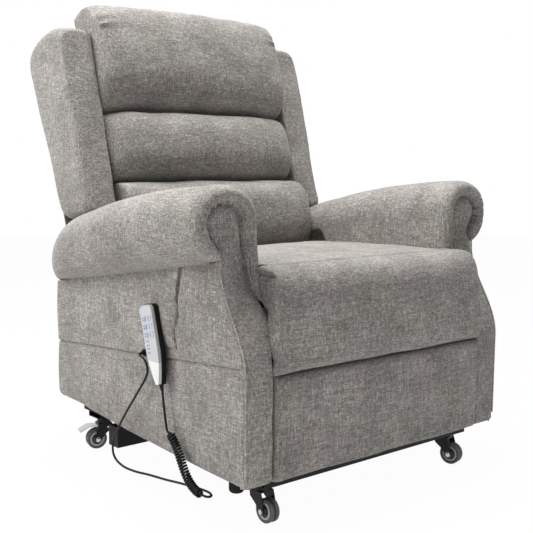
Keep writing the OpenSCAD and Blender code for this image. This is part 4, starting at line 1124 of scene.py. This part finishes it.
def face_depth(x, z):
    """How deep the padded arch lies behind the strip: 12 mm in its middle, 13 mm more at its edge,
    where it falls off by e to the power of minus the distance from the seam."""
    angle = face_angle(x, z, ARCH_FROM)
    inside = np.interp(angle, ARCH[:, 0], ARCH[:, 1]) - np.hypot(x - FACE_MID[0], z - FACE_MID[1])
    inside = np.where(angle > ARCH_TO, x - face_inner_x(z), inside)
    return 12.0 + 13.0 * np.exp(-np.maximum(inside, 0) / 6.0)


def arm_face(side):
    """The face: rows go up from the floor edge, close together in the arch, and each row runs from the
    inner to the outer edge. Its inner edge lies deep behind the rim, its outer edge meets the side."""
    top = MID_Z + (arch_point(90.0)[1] - MID_Z) * FACE_GROWS
    z = np.concatenate([np.linspace(side_hem(FRONT_Y + 9), 520, 64), np.linspace(526, MID_Z, 12),
                        MID_Z + (top - MID_Z) * np.sin(np.linspace(0.08, np.pi / 2 - 0.02, 18))])[:, None]
    x0, x1 = face_edges(z)
    u = ends_close(24)[None, :]
    half = (x1 - x0) / 2
    x = (x0 + x1) / 2 + u * half
    high = smooth(ARCH_STARTS, ARCH_FULL, z)
    behind = 16.0 * smooth(395, 470, z) * ((1 - u) / 2) * (1 - high) + face_depth(x, z) * high
    round_off = rounded_edge((1 - np.abs(u)) * half, 7.0) * (1 - 0.6 * high)
    y = arm_front_y(z) + SEAM_STEP + behind + round_off - 2.0 * (1 - u ** 4)
    outer = vec(x, y + rounded_edge(z - z[0], 8.0), z)
    inner = vec(x, np.maximum(arm_front_y(z) + 18, y + 3), z)
    return arm_pad("arm_face", "arm_front", side, soften(outer, 0.8, 90, 41 + side), inner)


def seam_cord(name, side, x, y, z, radius):
    """A stitched edge, as a thin raised cord of cloth along the points (x, y, z). The cord is real, but its
    cloth is painted 1.3 times lighter than the cover as a painted highlight on the edge.
    """
    piece = tube(name + "_" + SIDES[side], vec(side * x, y, z), radius, seam_cloth_painted_highlight, "seat")
    return piece


def corner_seam(side):
    """The edge between face and side panel."""
    z = np.linspace(120, 533, 60)
    return seam_cord("corner_seam", side, ARM_OUT - 1.6, arm_front_y(z) + 2.9, z, 1.9)


def arch_seam(side):
    """The edge round the arched face, from the outer corner over the top and down inside."""
    z = np.linspace(580, 478, 28)
    x, z = np.concatenate([arch_point(np.linspace(-72, 180, 110)), vec(face_inner_x(z), z)]).T
    y = arm_front_y(z) + SEAM_STEP - 1.0 + face_depth(x, z) * smooth(ARCH_STARTS, ARCH_FULL, z)
    return seam_cord("arch_seam", side, x, y, z, 1.5)


for side in SIDES:
    print([make(side).name for make in (arm_wrap, arm_face, corner_seam, arch_seam)])

# %% [markdown]
# ## Side panels
# The outside of the arm is one tall panel under the roll. A seam crosses it, the cloth above laps
# over the cloth below, and a deep fold runs down from the roll beside the handset's pocket.

# %% Side panels
def side_seam_z(y):
    """Height of the seam across the side."""
    return 277 + 0.0745 * (292 - y)


FOLD = np.array([(530, -231), (473, -221), (435, -215), (373, -219), (340, -231)], float)[::-1]   # z, y
CORNER_R = 30.0         # the lower rear corner
SEAM_AT = 0.45          # share of the rows that lie below the seam


def side_panel(side):
    """Columns go from the front edge to the rear, rows from the hem to the roll. The seam, the lap
    above it and, on the left, the fold are grooves: minus a bell curve of the distance to their line."""
    even = np.linspace(0, 1, 90)[None, :]
    s = 0.6 * (1 - np.cos(np.pi * even)) / 2 + 0.4 * even
    t = np.concatenate([np.linspace(0, 0.40, 26), np.linspace(0.41, 0.49, 22), np.linspace(0.5, 1, 44)])
    t = t[:, None]
    y = FRONT_Y + 5 + s * (REAR_Y - FRONT_Y - 5)
    for _ in range(3):
        low, top, seam = side_hem(y), arm_under(y) + 1, side_seam_z(y)
        z = np.where(t < SEAM_AT, low + (seam - low) * t / SEAM_AT,
                     seam + (top - seam) * (t - SEAM_AT) / (1 - SEAM_AT))
        front = arm_front_y(z) + 3
        y = front + s * (REAR_Y - front)
    corner = np.maximum(0, CORNER_R - (REAR_Y - y))
    lifted = CORNER_R - np.sqrt(np.maximum(0, CORNER_R ** 2 - corner ** 2))
    z = np.where(t < SEAM_AT, z + lifted * (1 - t / SEAM_AT), z)
    back = rounded_edge(np.minimum(y - front, REAR_Y - y), 9.0) + rounded_edge(z - side_hem(y), 6.0) * 0.8
    seam = z - side_seam_z(y)
    above = np.clip(seam / (arm_under(y) - side_seam_z(y)), 0, 1)
    below = np.clip(-seam / (side_seam_z(y) - side_hem(y)), 0, 1)
    belly = 3.0 * np.sin(np.pi * above) + 2.0 * np.sin(np.pi * below)
    lap = 2.0 * smooth(-1.5, 1.5, seam) * np.exp(-np.maximum(seam, 0) / 25)
    x = ARM_OUT - 1.5 + belly + lap - 3.2 * np.exp(-((seam + 2.0) / 2.6) ** 2) - back
    if side < 0:
        fold_y = np.interp(z, FOLD[:, 0], FOLD[:, 1])
        deep = smooth(350, 430, z) * 9.0
        x = x - deep * np.exp(-((y - fold_y) / 4.2) ** 2)
        x = x + 0.45 * deep * np.exp(-((y - fold_y + 15) / 10) ** 2)
    outer = soften(vec(x, y, z), 0.9, 120, 51 + side)
    inner = vec(ARM_OUT - 12, y, z)
    return arm_pad("side_cover", "side_panel", side, outer, inner)


def inner_panel(side):
    """The lining between arm and seat: a thin pad that only shows through the gap behind the seat."""
    low = 336
    y = np.linspace(-400, REAR_Y - 13, 30)[None, :]
    z = low + np.linspace(0, 1, 12)[:, None] * (arm_under(y) - 2 - low)
    y = np.maximum(y, arm_front_y(z) + 20)
    round_off = rounded_edge(z - low + 3, 5) + rounded_edge(REAR_Y - 12 - y, 5)
    outer = vec(ARM_IN + round_off, y, z)
    inner = vec(ARM_IN + 11, y, z)
    return arm_pad("arm_lining", "arm_inner", side, outer, inner)


for side in SIDES:
    print(side_panel(side).name, inner_panel(side).name)

# %% [markdown]
# ## Rear
# Behind, a flat board closes the arms and the base, with a wide notch through which the back
# reclines. The back itself has a taut cover from wing to wing.

# %% Rear covers
def rear_panel():
    """A pad with a notch: its top falls from the arms' height to the notch over a short slope."""
    u = np.concatenate([np.linspace(-1, -0.72, 16), np.linspace(-0.70, 0.70, 40), np.linspace(0.72, 1, 16)])
    half, low = ARM_OUT - 13, 144
    x = u[None, :] * half
    top = 418 - 60 * smooth(316, 300, np.abs(x))
    v = np.linspace(0, 1, 24)[:, None]
    z = low + v * (top - low)
    back = rounded_edge(half - np.abs(x), 8) + rounded_edge(z - low, 6) + rounded_edge(top - z, 6)
    outer = vec(x, REAR_Y + 1.5 - back + 1.5 * np.sin(np.pi * v), z)
    inner = vec(x, REAR_Y - 11, z)
    return cover(pad("rear_cover", soften(outer, 0.8, 130, 61), inner, tweed_rear, "seat"), "rear_panel")


def back_cover():
    """The rear of the back: full width between the wings, drawn in below them, its top turned
    forward over the frame."""
    over = np.linspace(0, 1, 8)[:-1] * np.pi / 2
    rise = np.concatenate([np.linspace(-98, 20, 16), np.linspace(28, BACK_LEN - 16, 44)])
    out = np.concatenate([np.full(len(rise), -BACK_DEPTH - 15.0), -BACK_DEPTH - 15 + 12 * (1 - np.cos(over)),
                          np.linspace(-BACK_DEPTH + 4, -6, 8)])[:, None]
    up = np.concatenate([rise, BACK_LEN - 16 + 12 * np.sin(over), np.full(8, BACK_LEN - 4.0)])[:, None]
    narrowing = np.clip((BACK_LEN - up) / 30, 0, 1)
    half = np.where(up < BACK_LEN - 30, WING_IN + WING_T * 0.86, WING_IN + WING_T * 0.62 * narrowing)
    half = np.where(up < 24, SEAT_HALF - 8, half)
    u = ends_close(50)[None, :]
    x = u * half
    round_off = rounded_edge(half - np.abs(x), 12)
    bulge = 3 * (1 - u ** 4) * np.sin(np.pi * np.clip((up + 98) / (BACK_LEN + 98), 0, 1))
    outer = soften(from_back(x, out - bulge + round_off, up), 0.9, 130, 62)
    inner = from_back(x, np.minimum(out + 13, -1), np.minimum(up, BACK_LEN - 17))
    return cover(pad("back_rear_cover", outer, inner, tweed_rear, "back"), "back_cover")


print(rear_panel().name, back_cover().name)

# %% [markdown]
# ## The pocket
# The handset hangs from a small pocket that is sewn into the seam under the left arm roll: a strap
# comes down from the seam and widens into a soft pouch.

# %% Handset pocket
POCKET_EDGES = np.array([  # height, rear edge y, front edge y, how far it stands off the panel
    (520, -192, -224, 0.6), (500, -188, -219, 1.2), (470, -179, -215, 2.2), (445, -170, -211, 3.4),
    (434, -166, -210, 4.2), (428, -158, -214, 5.4), (421, -151, -219, 6.6), (410, -150, -219, 7.2),
    (392, -153, -213, 7.2), (374, -157, -207, 6.6), (358, -163, -208, 5.0), (344, -170, -212, 2.8),
    (336, -176, -214, 0.8)], float)[::-1]


def pocket():
    """Rows go up the pocket; its edges and stand-off run straight between a few given heights."""
    z = np.linspace(POCKET_EDGES[0, 0], POCKET_EDGES[-1, 0], 60)[:, None]
    rear, front, stand = (np.interp(z, POCKET_EDGES[:, 0], POCKET_EDGES[:, k]) for k in (1, 2, 3))
    u = ends_close(26)[None, :]
    y = (rear + front) / 2 + u * (rear - front) / 2
    lip = -3.0 * np.exp(-((z - 431) / 2.6) ** 2)
    outer = vec(-(ARM_OUT + 2.0 + stand * (1 - 0.75 * u ** 4) + lip), y, z)
    inner = vec(-ARM_OUT + 3, y, z)
    return cover(pad("pocket_cover", outer, inner, tweed_seat, "seat"), "handset_pocket")


print(pocket().name)
